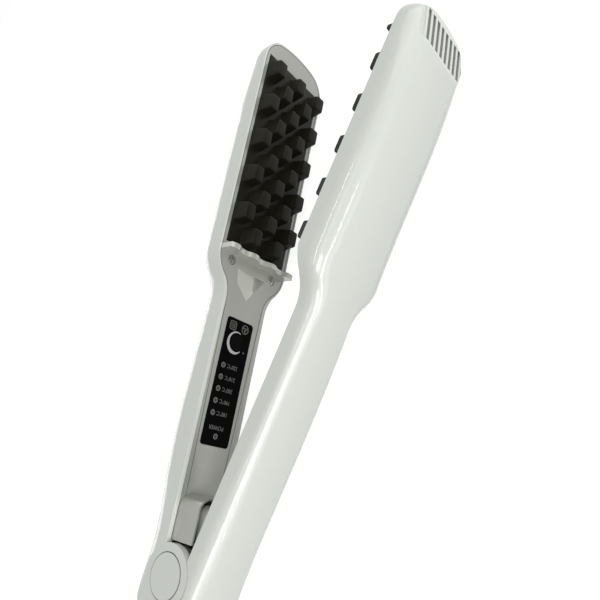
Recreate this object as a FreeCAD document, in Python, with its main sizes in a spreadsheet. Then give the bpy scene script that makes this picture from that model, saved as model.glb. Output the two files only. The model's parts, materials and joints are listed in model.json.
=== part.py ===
import FreeCAD, Part
import math
import os

import Sketcher
from FreeCAD import Vector

# Hair crimper lying on its side and open, in millimetres and degrees.
# Each arm is drawn as it lies when the tool is closed. From the hinge axis the arm runs along +Y,
# its width lies along Z, and its depth runs along X, away from the plane where the two arms meet.
# The first arm lies at -X and the second at +X, and each is then turned about the hinge by half the opening.

SIZES = {
    "open_angle": 16.2,
    # shells
    "head_half": 22.2,
    "neck_half": 13.8,
    "face_gap": 4.0,
    "back_depth": 17.6,
    "tip_reach": 250.0,
    "tail_clear": 0.5,
    "tail_corner": 6.5,
    "shoulder_start": 113.0,
    "shoulder_run": 22.0,
    "corner_round": 13.0,
    "nose_round": 60.0,
    "nose_drop": 11.5,
    "shoulder_round": 7.3,
    "side_round": 9.2,
    "side_run": 30.0,
    "neck_low": 10.0,
    "neck_middle": 34.0,
    "tail_round_a": 6.0,
    "low_round_a": 9.5,
    "middle_round_a": 7.0,
    "neck_round_a": 7.4,
    "tail_round_b": 4.5,
    "low_round_b": 5.5,
    "middle_round_b": 5.2,
    "neck_round_b": 5.2,
    "floor_wall": 3.0,
    "tail_wall": 4.0,
    "nose_wall": 10.5,
    "deep_nose": 19.0,
    "cavity_corner": 6.0,
    "cavity_shift": 1.0,
    "ledge_neck": 0.85,
    "ledge_head": 1.4,
    "step_head": 3.4,
    "step_neck": 1.9,
    "step_head_level": 10.5,
    "step_neck_level": 12.2,
    # lower neck of the second arm
    "neck_drop": 3.7,
    "drop_back": 9.0,
    "drop_run": 10.0,
    # covers
    "rim_neck": 2.05,
    "rim_head": 1.0,
    "seam": 0.15,
    "lid": 2.0,
    "lid_shift": 0.5,
    "lid_clear_b": 1.0,
    "overcut": 1.0,
    # plates and studs
    "plate_half": 19.0,
    "plate_place": 3.0,
    "plate_tip": 12.0,
    "plate_rise": 0.1,
    "plate_gap": 0.3,
    "stud_base_width": 7.3,
    "stud_play_across": 0.25,
    "stud_play": 0.3,
    "stud_draft": 1.8,
    "stud_height": 7.0,
    "stud_root": 0.5,
    "stud_tip_margin": 3.65,
    "stud_neck_margin": 0.65,
    "short_stud": 3.8,
    "short_stud_margin": 0.05,
    # collar, hump and scoop of the first cover
    "collar_place": 0.5,
    "collar_thick": 2.3,
    "collar_level": 2.2,
    "collar_wave": 1.0,
    "wave_half": 6.0,
    "hump_clear": 1.1,
    "hump_length": 17.6,
    "hump_top": 8.0,
    "hump_lip": 0.5,
    "hump_wall": 0.85,
    "hump_corner": 5.0,
    "scoop_back": 6.8,
    "scoop_length": 12.9,
    "scoop_in": 1.7,
    "scoop_depth": 1.7,
    "scoop_belly": 0.85,
    "scoop_low": 0.7,
    "backing": 1.2,
    # control strip
    "label_in": 2.7,
    "label_low": 20.0,
    "label_high": 9.2,
    "label_thick": 0.8,
    "label_gap": 0.1,
    "label_corner": 1.5,
    "button_back": 10.3,
    "button_across": 0.4,
    "button_radius": 3.6,
    "button_gap": 0.15,
    "button_rise": 0.5,
    "button_flange": 4.6,
    "flange_thick": 0.8,
    "button_travel": 0.6,
    "lamp_back": 21.5,
    "lamp_run": 9.58,
    "lamp_across": 4.8,
    "lamp_radius": 0.8,
    "lamp_gap": 0.05,
    "power_lamp_on": 4.1,
    "power_lamp_across": 0.3,
    "guide_thick": 1.5,
    "guide_half": 1.2,
    # board under the strip
    "board_in": 1.9,
    "board_low": 4.2,
    "board_high": 5.9,
    "board_depth": 10.4,
    "board_thick": 1.6,
    "post_radius": 2.0,
    "post_inset": 3.5,
    # screws of the covers
    "screw_back": 4.5,
    "screw_out": 2.5,
    "screw_low_b": 45.0,
    "screw_high_b": 8.0,
    "screw_head": 2.0,
    "screw_sink": 0.3,
    "screw_head_thick": 1.0,
    "screw_shank": 1.2,
    "screw_length": 5.0,
    "screw_play": 0.5,
    "slot_long": 1.3,
    "slot_wide": 0.3,
    "slot_deep": 0.6,
    "boss_radius": 2.8,
    # hinge
    "ear_gap": 0.5,
    "pin_radius": 3.0,
    "pin_gap": 0.05,
    "cap_radius": 8.5,
    "cap_gap": 0.25,
    "cap_thick": 1.3,
    "cap_rise": 0.15,
    "lug_radius": 11.5,
    "lug_thick": 3.3,
    "lug_gap": 0.1,
    "block_gap": 0.8,
    "block_back": 1.2,
    "block_tail": 9.0,
    "plunger_in": 1.9,
    "plunger_back": 3.2,
    "plunger_clear": 1.8,
    "plunger_corner": 3.5,
    "plunger_root": 0.5,
    "plunger_near": 3.2,
    "plunger_far": 1.2,
    "hump_gap": 0.35,
    "barrel_radius": 9.0,
    "barrel_wall": 1.8,
    "barrel_mouth": 3.0,
    "spring_radius": 5.0,
    "spring_wire": 0.6,
    "spring_turns": 6,
    "spring_leg": 11.0,
    "spring_gap": 0.3,
    # gland
    "gland_depth": 9.2,
    "gland_radius": 4.6,
    "gland_bore": 3.2,
    "gland_out": 5.0,
    "gland_in": 2.5,
    "gland_flange": 6.0,
    "gland_gap": 0.05,
    # vents in the back of the nose
    "vent_run": 20.6,
    "vent_drop": 6.55,
    "slot_pitch": 3.9,
    "slot_width": 2.4,
    "slot_count": 10,
    "slot_depth": 1.2,
    "slot_lead": 1.6,
    "slot_end": 4.5,
    # heating parts
    "frame_half": 19.5,
    "frame_inner": 15.5,
    "frame_thick": 2.4,
    "frame_corner": 6.0,
    "foot_length": 8.0,
    "foot_width": 2.4,
    "foot_inset": 0.5,
    "heater_half": 10.0,
    "heater_low": 14.0,
    "heater_high": 12.0,
    "heater_thick": 2.5,
    "clip_half": 7.0,
    "clip_inset": 12.0,
    "clip_thick": 0.8,
    "sensor_place": 8.0,
    "sensor_half": 2.0,
    "sensor_length": 6.0,
    "fuse_across": 12.8,
    "fuse_radius": 2.0,
    "fuse_length": 14.0,
    "fuse_place": 38.0,
    "module_half": 6.0,
    "module_low": 14.0,
    "module_length": 20.0,
    "module_thick": 2.4,
}


class Size:
    """A size with the sheet expression that gives it."""

    def __init__(self, value, text):
        self.value = value
        self.text = text

    def joined(self, other, sign, value):
        return Size(value, f"({self.text} {sign} {as_size(other).text})")

    def __add__(self, other):
        return self.joined(other, "+", self.value + as_size(other).value)

    def __sub__(self, other):
        return self.joined(other, "-", self.value - as_size(other).value)

    def __mul__(self, other):
        return self.joined(other, "*", self.value * as_size(other).value)

    def __truediv__(self, other):
        return self.joined(other, "/", self.value / as_size(other).value)

    def __neg__(self):
        return Size(-self.value, f"(0 - {self.text})")


def as_size(number):
    """A plain number as a size, and a size as it is."""
    return number if isinstance(number, Size) else Size(float(number), repr(float(number)))


def root(size):
    """The square root of a size."""
    return Size(math.sqrt(size.value), f"sqrt({size.text})")


def sine(angle):
    """The sine of an angle in degrees."""
    return Size(math.sin(math.radians(angle.value)), f"sin({angle.text})")


def cosine(angle):
    """The cosine of an angle in degrees."""
    return Size(math.cos(math.radians(angle.value)), f"cos({angle.text})")


def write_sheet(document):
    """Writes the driving sizes into a sheet and returns them by name."""
    sheet = document.addObject("Spreadsheet::Sheet", "Sizes")
    named = {}
    for row, (word, value) in enumerate(SIZES.items(), start=1):
        sheet.set(f"A{row}", word)
        sheet.set(f"B{row}", str(value))
        sheet.setAlias(f"B{row}", word)
        named[word] = Size(value, f"Sizes.{word}")
    document.recompute()
    return named


doc = FreeCAD.newDocument("HairCrimper")
S = write_sheet(doc)
NODES = []

# Depths, measured away from the plane between the arms
FACE = S["face_gap"]
BACK = S["back_depth"]
LID_UNDER = FACE + S["lid"]
FLOOR = BACK - S["floor_wall"]
NECK_FACE = FACE + S["neck_drop"]
NECK_UNDER = NECK_FACE + S["lid"]
# How many there are of each
STUD_ROWS = 10
STUD_COLUMNS = 5
LAMPS = 5
COLLAR_WAVES = 7
# Round corners that would just meet are made this much smaller
SHORT = 0.998
# Points closer than this are one point
TOUCH = 1e-6
# Half-widths
CAVITY_NECK = S["neck_half"] - S["rim_neck"] - S["ledge_neck"]
CAVITY_HEAD = S["head_half"] - S["rim_head"] - S["ledge_head"]
DEEP_HEAD = CAVITY_HEAD - S["step_head"]
LUG_OUTER = CAVITY_NECK - S["lug_gap"]
LUG_INNER = LUG_OUTER - S["lug_thick"]
HUMP_HALF = CAVITY_NECK + S["hump_lip"]
PLUNGER_HALF = HUMP_HALF - S["plunger_in"]
SCOOP_HALF = CAVITY_NECK - S["scoop_in"]
LABEL_HALF = CAVITY_NECK - S["label_in"]
BOARD_HALF = CAVITY_NECK - S["board_in"]
SCREW_ACROSS = CAVITY_NECK + S["screw_out"]
# Places along the arm, from the hinge towards the tip
EAR_RADIUS = S["lug_radius"] + S["tail_clear"]
TAIL_INNER = EAR_RADIUS
TAIL_REACH = TAIL_INNER + S["tail_wall"]
HUMP_START = S["lug_radius"] + S["hump_clear"]
HUMP_END = HUMP_START + S["hump_length"]
LID_START_B = HUMP_END + S["lid_clear_b"]
PLUNGER_START = HUMP_START + S["plunger_back"]
PLUNGER_REACH = HUMP_END - S["plunger_clear"]
SHOULDER_END = S["shoulder_start"] + S["shoulder_run"]
DROP_START = SHOULDER_END - S["drop_back"]
DROP_END = DROP_START + S["drop_run"]
LID_SHOULDER_START = S["shoulder_start"] + S["lid_shift"]
LID_SHOULDER_END = SHOULDER_END - S["lid_shift"] * 2
SCREW_PLACE = SHOULDER_END - S["screw_back"]
COLLAR_END = SHOULDER_END + S["collar_place"]
SCOOP_LEDGE = SHOULDER_END - S["scoop_back"]
SCOOP_APEX = SCOOP_LEDGE - S["scoop_length"]
PLATE_START = SHOULDER_END + S["plate_place"]
PLATE_END = S["tip_reach"] - S["plate_tip"]
LABEL_START = HUMP_END + S["label_low"]
LABEL_END = SCOOP_APEX - S["label_high"]
BUTTON_PLACE = LABEL_END - S["button_back"]
LAMP_FIRST = LABEL_END - S["lamp_back"]
POWER_LAMP = LABEL_START + S["power_lamp_on"]
LAMP_PITCH = (LAMP_FIRST - POWER_LAMP - S["lamp_run"]) / (LAMPS - 1)
BOARD_START = LABEL_START - S["board_low"]
BOARD_END = LABEL_END + S["board_high"]
# Studs: the rows of the two arms together, which pass between each other
STUD_FIELD = PLATE_END - PLATE_START - S["stud_tip_margin"] - S["stud_neck_margin"]
STUD_PITCH = (STUD_FIELD + S["stud_play"]) / STUD_ROWS
STUD_LENGTH = STUD_PITCH - S["stud_play"]
STUD_TOP = STUD_LENGTH - S["stud_draft"]
STUD_FIRST = PLATE_END - S["stud_tip_margin"] - STUD_LENGTH / 2
STUD_PITCH_ACROSS = S["stud_base_width"] + S["stud_play_across"]
# Where the hinge axis stands, so that the origin is the middle of the underside of the whole part
HALF_OPEN = S["open_angle"] / 2
Y_MAX = S["tip_reach"] * cosine(HALF_OPEN) - FACE * sine(HALF_OPEN)
GLAND_LOW = (TAIL_REACH + S["gland_out"]) * cosine(HALF_OPEN)
Y_MIN = -(GLAND_LOW + (S["gland_depth"] + S["gland_flange"]) * sine(HALF_OPEN))
HINGE_Y = -(Y_MAX + Y_MIN) / 2
HINGE_Z = S["head_half"]


class Arm:
    """One arm: the side of the middle plane it lies on, and its turn about the hinge."""

    def __init__(self, letter, side):
        self.letter = letter
        self.side = side
        self.turn = HALF_OPEN * (-side)

    def across_depth(self, near, far):
        """Two depths as the lower and the upper X."""
        return (near, far) if self.side > 0 else (-as_size(far), -as_size(near))

    def x(self, depth):
        return depth * self.side


ARM_A = Arm("a", -1)
ARM_B = Arm("b", 1)


def placement_text(x, y, z, axis=(0, 0, 1), angle=0.0):
    """A placement as a sheet expression."""
    base = "; ".join(as_size(value).text for value in (x, y, z))
    turn = "; ".join(str(value) for value in axis)
    return f"placement(vector({base}); rotation(vector({turn}); {as_size(angle).text}))"


def arm_placement(arm):
    return placement_text(0.0, HINGE_Y, HINGE_Z, (0, 0, 1), arm.turn)


def bind(thing, prop, size):
    """Ties a property to a size."""
    thing.setExpression(prop, as_size(size).text)


def finish_node(thing, name, arm, local=None):
    """Labels a sub-part and stands it on its arm."""
    thing.Label = name
    text = arm_placement(arm)
    thing.setExpression("Placement", f"{text} * {local}" if local else text)
    NODES.append(thing)
    return thing


# Plain pieces: each is (object, its own placement as text)


def plain(kind, place, **sizes):
    """A primitive with its sizes tied."""
    thing = doc.addObject(kind, kind.split("::")[1])
    for prop, size in sizes.items():
        bind(thing, prop, size)
    thing.setExpression("Placement", place)
    return thing, place


def block(arm, depth, along, across):
    """A box between two depths, two places along the arm and two across it."""
    low, high = arm.across_depth(*depth)
    place = placement_text(low, along[0], across[0])
    sizes = {
        "Length": as_size(high) - low,
        "Width": as_size(along[1]) - along[0],
        "Height": as_size(across[1]) - across[0],
    }
    return plain("Part::Box", place, **sizes)


def sunk_pin(arm, radius, depth, along, across):
    """A round pin that runs along the arm's depth."""
    low, high = arm.across_depth(*depth)
    place = placement_text(low, along, across, (0, 1, 0), 90.0)
    return plain("Part::Cylinder", place, Radius=radius, Height=as_size(high) - low)


def long_pin(arm, radius, depth, along, across):
    """A round pin that runs along the arm."""
    place = placement_text(arm.x(depth), along[1], across, (1, 0, 0), 90.0)
    return plain("Part::Cylinder", place, Radius=radius, Height=as_size(along[1]) - along[0])


def cross_pin(radius, across, x=0.0, y=0.0):
    """A round pin that runs along the hinge axis."""
    place = placement_text(x, y, across[0])
    return plain("Part::Cylinder", place, Radius=radius, Height=as_size(across[1]) - across[0])


def fused(pieces):
    """Several primitives as one, or the only one as it is."""
    if len(pieces) == 1:
        return pieces[0]
    thing = doc.addObject("Part::MultiFuse", "Fused")
    thing.Shapes = [piece[0] for piece in pieces]
    return thing, None


def built(name, arm, pieces, cuts=()):
    """A sub-part from primitives, less other primitives."""
    body, place = fused(list(pieces))
    if cuts:
        cut = doc.addObject("Part::Cut", "Cut")
        cut.Base = body
        cut.Tool = fused(list(cuts))[0]
        body, place = cut, None
    return finish_node(body, name, arm, place)


# Sketches


def plane_of(body, role):
    """The body's own origin plane with this role."""
    return next(item for item in body.Origin.OriginFeatures if item.Role == role)


def new_sketch(body, role, offset=None):
    """A sketch on one of the body's origin planes, moved along that plane's normal."""
    sketch = body.newObject("Sketcher::SketchObject", "Sketch")
    sketch.AttachmentSupport = [(plane_of(body, role), "")]
    sketch.MapMode = "FlatFace"
    if offset is not None:
        bind(sketch, "AttachmentOffset.Base.z", offset)
    return sketch


def held(sketch, kind, *arguments, size=None):
    """Adds a constraint and ties its value to a size."""
    if size is None:
        return sketch.addConstraint(Sketcher.Constraint(kind, *arguments))
    index = sketch.addConstraint(Sketcher.Constraint(kind, *arguments, size.value))
    sketch.setExpression(f"Constraints[{index}]", size.text)
    return index


def pin_point(sketch, item, position, x, y):
    """Holds one point of a sketch item at x, y from the sketch's origin."""
    held(sketch, "DistanceX", -1, 1, item, position, size=as_size(x))
    held(sketch, "DistanceY", -1, 1, item, position, size=as_size(y))


def rounded_outline(sketch, corners):
    """A closed outline through corners (x, y, radius); a corner without a radius stays sharp."""
    corners = [(as_size(x), as_size(y), radius) for x, y, radius in corners]
    points = [Vector(x.value, y.value, 0) for x, y, radius in corners]
    ends = []
    for i, (x, y, radius) in enumerate(corners):
        if radius is None:
            ends.append((points[i], points[i], None))
            continue
        back = (points[i - 1] - points[i]).normalize()
        ahead = (points[(i + 1) % len(points)] - points[i]).normalize()
        half = back.getAngle(ahead) / 2
        length = radius.value / math.tan(half)
        centre = points[i] + (back + ahead).normalize() * (radius.value / math.sin(half))
        ends.append((points[i] + back * length, points[i] + ahead * length, centre))
    marks = []
    for (x, y, radius), point in zip(corners, points):
        mark = sketch.addGeometry(Part.Point(point), True)
        pin_point(sketch, mark, 1, x, y)
        marks.append(mark)
    count = len(corners)
    lines = []
    for i in range(count):
        lines.append(sketch.addGeometry(Part.LineSegment(ends[i][1], ends[(i + 1) % count][0])))
    for i, (x, y, radius) in enumerate(corners):
        if radius is None:
            held(sketch, "Coincident", lines[i - 1], 2, lines[i], 1)
            held(sketch, "Coincident", lines[i], 1, marks[i], 1)
            continue
        start, end, centre = ends[i]
        middle = centre + (points[i] - centre).normalize() * radius.value
        arc = sketch.addGeometry(Part.Arc(start, middle, end))
        left = (start - centre).cross(end - centre).z > 0
        held(sketch, "Tangent", lines[i - 1], 2, arc, 1 if left else 2)
        held(sketch, "Tangent", arc, 2 if left else 1, lines[i], 1)
        held(sketch, "Radius", arc, size=radius)
        held(sketch, "PointOnObject", marks[i], 1, lines[i])
        held(sketch, "PointOnObject", marks[i], 1, lines[i - 1])
    return sketch


def profile(sketch, steps):
    """A closed line through (x, y, bulge); with a bulge the step to the next point is an arc of that
    radius, to the left of the step if the radius is positive and to the right if it is negative."""
    steps = [(as_size(x), as_size(y), bulge) for x, y, bulge in steps]
    count = len(steps)
    items = []
    for i, (x, y, bulge) in enumerate(steps):
        ahead = steps[(i + 1) % count]
        start = Vector(x.value, y.value, 0)
        end = Vector(ahead[0].value, ahead[1].value, 0)
        if bulge is None:
            items.append((sketch.addGeometry(Part.LineSegment(start, end)), 1, 2))
            continue
        chord = end - start
        radius = abs(bulge.value)
        left = Vector(-chord.y, chord.x, 0).normalize() * (1 if bulge.value > 0 else -1)
        sagitta = radius - math.sqrt(radius**2 - (chord.Length / 2) ** 2)
        middle = (start + end) * 0.5 + left * sagitta
        item = sketch.addGeometry(Part.Arc(start, middle, end))
        held(sketch, "Radius", item, size=bulge if bulge.value > 0 else -bulge)
        items.append((item, 2, 1) if bulge.value > 0 else (item, 1, 2))
    for i, (item, first, last) in enumerate(items):
        previous = items[i - 1]
        held(sketch, "Coincident", previous[0], previous[2], item, first)
        pin_point(sketch, item, first, steps[i][0], steps[i][1])
    return sketch


def circle(sketch, x, y, radius):
    """A circle with a tied centre and radius."""
    centre = Vector(as_size(x).value, as_size(y).value, 0)
    item = sketch.addGeometry(Part.Circle(centre, Vector(0, 0, 1), radius.value))
    pin_point(sketch, item, 3, x, y)
    held(sketch, "Radius", item, size=radius)
    return sketch


# Features of a body


def new_body(name):
    body = doc.addObject("PartDesign::Body", "Body")
    body.AllowCompound = False
    body.Label = name
    return body


def pad(body, sketch, length, reverse=False, middle=False):
    """Adds the sketch's outline, as thick as length."""
    feature = body.newObject("PartDesign::Pad", "Pad")
    feature.Profile = sketch
    bind(feature, "Length", length)
    feature.Reversed = reverse
    if middle:
        feature.SideType = "Symmetric"
    return feature


def pocket(body, sketch, length, reverse=False, middle=False):
    """Takes the sketch's outline away, as deep as length, and checks that it cuts."""
    doc.recompute()
    before = body.Tip.Shape.Volume
    feature = body.newObject("PartDesign::Pocket", "Pocket")
    feature.Profile = sketch
    bind(feature, "Length", length)
    feature.Reversed = reverse
    if middle:
        feature.SideType = "Symmetric"
    doc.recompute()
    if before - feature.Shape.Volume < TOUCH:
        raise RuntimeError(f"a pocket of {body.Label} cuts nothing")
    return feature


def nose_points(head, tip, corner, nose):
    """Where the tangents of the tip's round corners meet, for a nose of one wide arc."""
    ratio = (head - corner) / (nose - corner)
    level = root(as_size(1.0) - ratio * ratio)
    top = tip - nose + nose / level
    return top, top - head * ratio / level


def bends(neck, head, low, high):
    """The two round bends of a shoulder: where their straight lines meet, and their radius."""
    slope = (head - neck) / (high - low)
    bend = ((high - low) * (high - low) + (head - neck) * (head - neck)) / (head - neck) / 4
    return low + bend * slope, high - bend * slope, bend * SHORT


def arm_outline(neck, head, start, tip, low, high, corner, nose,
                start_corner=None, neck_marks=(), head_marks=()):
    """The plan of an arm: a narrow neck, two round shoulders and a head with a rounded nose. The straight
    sides of the neck and of the head are divided at the marks."""
    lower, upper, bend = bends(neck, head, low, high)
    top, side = nose_points(head, tip, corner, nose)
    half = [(start, neck, start_corner)]
    half += [(mark, neck, None) for mark in neck_marks]
    half += [(lower, neck, bend), (upper, head, bend)]
    half += [(mark, head, None) for mark in head_marks]
    half.append((side, head, corner * SHORT))
    right = [(x, -y, radius) for x, y, radius in half]
    return right + [(top, 0.0, nose * SHORT)] + half[::-1]


def cavity_outline(neck, head, start, tip, low, high, corner):
    """The plan of a hollow: like the arm's, with a straight end."""
    lower, upper, bend = bends(neck, head, low, high)
    half = [(start, neck, None), (lower, neck, bend), (upper, head, bend), (tip, head, corner)]
    return [(x, -y, radius) for x, y, radius in half] + half[::-1]


def rounding_at(arm, along):
    """How round the edge of an arm's back is at a place along the arm."""
    letter = arm.letter
    knots = (
        (-TAIL_REACH, S[f"tail_round_{letter}"]),
        (S["tail_corner"] - TAIL_REACH, S[f"tail_round_{letter}"]),
        (S["neck_low"], S[f"low_round_{letter}"]),
        (S["neck_middle"], S[f"middle_round_{letter}"]),
        (S["shoulder_start"], S[f"neck_round_{letter}"]),
        (SHOULDER_END, S["shoulder_round"]),
        (S["tip_reach"] - S["side_run"], S["side_round"]),
        (S["tip_reach"] - S["corner_round"], S["nose_drop"]),
        (S["tip_reach"], S["nose_drop"]),
    )
    for (low, before), (high, after) in zip(knots, knots[1:]):
        if along <= high.value:
            share = max(0.0, (along - low.value) / (high.value - low.value))
            return before.value + (after.value - before.value) * share
    return knots[-1][1].value


def rounded_prism(arm):
    """The outer form of an arm: its plan, rounded towards the back, more so at the nose."""
    body = new_body(f"outline_{arm.letter}")
    plan = new_sketch(body, "YZ_Plane", arm.x(FACE))
    rounded_outline(plan, arm_outline(
        S["neck_half"], S["head_half"], -TAIL_REACH, S["tip_reach"], S["shoulder_start"], SHOULDER_END,
        S["corner_round"], S["nose_round"], S["tail_corner"],
        neck_marks=(S["neck_low"], S["neck_middle"]), head_marks=(S["tip_reach"] - S["side_run"],)))
    pad(body, plan, BACK - FACE, arm.side < 0).Refine = False
    doc.recompute()
    rounding = doc.addObject("Part::Fillet", "Rounding")
    rounding.Base = body
    back = BACK.value * arm.side
    edges = []
    for number, edge in enumerate(body.Shape.Edges, start=1):
        if any(abs(vertex.X - back) > TOUCH for vertex in edge.Vertexes):
            continue
        ends = [edge.valueAt(edge.FirstParameter), edge.valueAt(edge.LastParameter)]
        radii = [rounding_at(arm, end.y) for end in ends]
        edges.append((number, radii[0], radii[1]))
    rounding.Edges = edges
    return rounding


def shell(arm):
    """The hollow outer shell of an arm."""
    form = rounded_prism(arm)
    body = new_body(f"shell_{arm.letter}")
    body.BaseFeature = form
    doc.recompute()
    if arm is ARM_A:
        seat = new_sketch(body, "YZ_Plane", arm.x(FACE))
        rounded_outline(seat, lid_outline(arm, as_size(0.0)))
        pocket(body, seat, S["lid"], arm.side > 0)
    else:
        above_lid(body, S["head_half"] + S["overcut"])
    hollow_out(body, arm)
    screw_bosses(body, arm)
    if arm is ARM_A:
        hinge_ears(body)
        board_posts(body)
        gland_hole(body)
    else:
        ear_recesses(body)
    vents(body, arm)
    if arm is ARM_A:
        return finish_node(body, body.Label, arm)
    body.Label = "shell_b_unseated"
    seated = doc.addObject("Part::Cut", "Cut")
    seated.Base = body
    seated.Tool = lid_seat()
    return finish_node(seated, "shell_b", arm)


def above_lid(body, half):
    """Takes away what lies over the second arm's lowered neck and the ramp up to its head."""
    low = -(TAIL_REACH + S["overcut"])
    side = new_sketch(body, "XY_Plane")
    profile(side, [
        (FACE - S["overcut"], low, None),
        (NECK_FACE, low, None),
        (NECK_FACE, DROP_START, None),
        (FACE, DROP_END, None),
        (FACE - S["overcut"], DROP_END, None),
    ])
    return pocket(body, side, half * 2, middle=True)


def stepped_plan(name, seam):
    """The second arm's cover or its seat, down to the underside that follows the neck's drop."""
    body = new_body(name)
    plan = new_sketch(body, "YZ_Plane", FACE)
    rounded_outline(plan, lid_outline(ARM_B, seam))
    pad(body, plan, NECK_UNDER - FACE)
    side = new_sketch(body, "XY_Plane")
    profile(side, [
        (NECK_UNDER, DROP_START, None),
        (LID_UNDER, DROP_END, None),
        (LID_UNDER, S["tip_reach"] + S["overcut"], None),
        (NECK_UNDER + S["overcut"], S["tip_reach"] + S["overcut"], None),
        (NECK_UNDER + S["overcut"], DROP_START, None),
    ])
    pocket(body, side, (S["head_half"] + S["overcut"]) * 2, middle=True)
    return body


def lid_seat():
    """The room that the second arm's cover takes in its shell."""
    return stepped_plan("lid_seat_b", as_size(0.0))


def hollow_out(body, arm):
    """The hollow under the cover: its whole plan first, then deeper in the neck and in the head, in
    steps that keep clear of the rounded back."""
    plan = new_sketch(body, "YZ_Plane", arm.x(FACE))
    rounded_outline(plan, cavity_outline(
        CAVITY_NECK, CAVITY_HEAD, -TAIL_INNER, S["tip_reach"] - S["nose_wall"],
        LID_SHOULDER_START + S["cavity_shift"], LID_SHOULDER_END + S["cavity_shift"], S["cavity_corner"]))
    pocket(body, plan, S["step_head_level"] - FACE, arm.side > 0)
    neck_end = SHOULDER_END + S["overcut"]
    deeper = [
        (-TAIL_INNER, neck_end, CAVITY_NECK, None, S["step_neck_level"] if arm is ARM_A else FLOOR),
        (SHOULDER_END, S["tip_reach"] - S["deep_nose"], DEEP_HEAD, S["cavity_corner"], FLOOR),
    ]
    if arm is ARM_A:
        deeper.append((-TAIL_INNER, neck_end, CAVITY_NECK - S["step_neck"], None, FLOOR))
    for low, high, half, corner, level in deeper:
        sketch = new_sketch(body, "YZ_Plane", arm.x(FACE))
        rounded_outline(sketch, [
            (low, -half, None), (high, -half, corner), (high, half, corner), (low, half, None)])
        pocket(body, sketch, level - FACE, arm.side > 0)


def mirrored_round(body, role, radius, x, y, offset, length, add, reverse=False):
    """A round pad or pocket."""
    sketch = new_sketch(body, role, offset)
    circle(sketch, x, y, radius)
    if add:
        return pad(body, sketch, length, reverse)
    return pocket(body, sketch, length, reverse)


def screw_places(arm):
    """Where the cover's two screws stand: along and across."""
    if arm is ARM_A:
        return (SCREW_PLACE, -SCREW_ACROSS), (SCREW_PLACE, SCREW_ACROSS)
    return (S["screw_low_b"], as_size(0.0)), (S["shoulder_start"] - S["screw_high_b"], as_size(0.0))


def screw_levels(arm):
    """The depths of the cover's face and underside at its screws."""
    return (FACE, LID_UNDER) if arm is ARM_A else (NECK_FACE, NECK_UNDER)


def screw_bosses(body, arm):
    """Bosses that take the cover's screws."""
    under = screw_levels(arm)[1]
    for along, across in screw_places(arm):
        mirrored_round(body, "YZ_Plane", S["boss_radius"], along, across,
                       arm.x(FLOOR), FLOOR - under, True, arm.side > 0)
        mirrored_round(body, "YZ_Plane", S["screw_shank"] + S["pin_gap"], along, across,
                       arm.x(under), S["screw_length"] + S["screw_play"], False, arm.side > 0)


def hinge_ears(body):
    """Two round ears with the pin's bore and a recess for each cap."""
    for way in (-1, 1):
        mirrored_round(body, "XY_Plane", EAR_RADIUS, 0.0, 0.0, CAVITY_NECK * way,
                       S["neck_half"] - CAVITY_NECK, True, way < 0)
    doc.recompute()
    for way in (-1, 1):
        mirrored_round(body, "XY_Plane", S["cap_radius"] + S["cap_gap"], 0.0, 0.0, S["neck_half"] * way,
                       S["cap_thick"], False, way < 0)
        mirrored_round(body, "XY_Plane", S["pin_radius"] + S["pin_gap"], 0.0, 0.0, S["neck_half"] * way,
                       S["neck_half"] - CAVITY_NECK, False, way < 0)


def board_places():
    """Where the posts of the circuit board stand: along and across."""
    across = BOARD_HALF - S["post_inset"]
    for along in (BOARD_START + S["post_inset"], BOARD_END - S["post_inset"]):
        for way in (-1, 1):
            yield along, across * way


def board_posts(body):
    """Posts under the circuit board."""
    for along, across in board_places():
        mirrored_round(body, "YZ_Plane", S["post_radius"], along, across, ARM_A.x(FLOOR),
                       FLOOR - S["board_depth"] - S["board_thick"], True, False)


def gland_hole(body):
    """The hole in the tail for the cord's gland."""
    mirrored_round(body, "XZ_Plane", S["gland_radius"] + S["gland_gap"], ARM_A.x(S["gland_depth"]), 0.0,
                   TAIL_REACH + S["overcut"], S["tail_wall"] + S["overcut"] * 2, False)


def ear_recesses(body):
    """Cuts the second arm's walls clear of the first arm's ears, and opens it for the hump."""
    for way in (-1, 1):
        mirrored_round(body, "XY_Plane", EAR_RADIUS + S["ear_gap"], 0.0, 0.0, CAVITY_NECK * way,
                       S["neck_half"] - CAVITY_NECK + S["overcut"], False, way > 0)
    start = -TAIL_INNER
    end = LID_START_B - S["seam"]
    half = HUMP_HALF + S["hump_gap"]
    sketch = new_sketch(body, "YZ_Plane", FACE)
    rounded_outline(sketch, [
        (start, -half, None), (end, -half, None), (end, half, None), (start, half, None)])
    pocket(body, sketch, S["hump_top"] + S["block_gap"] - FACE, True)


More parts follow.
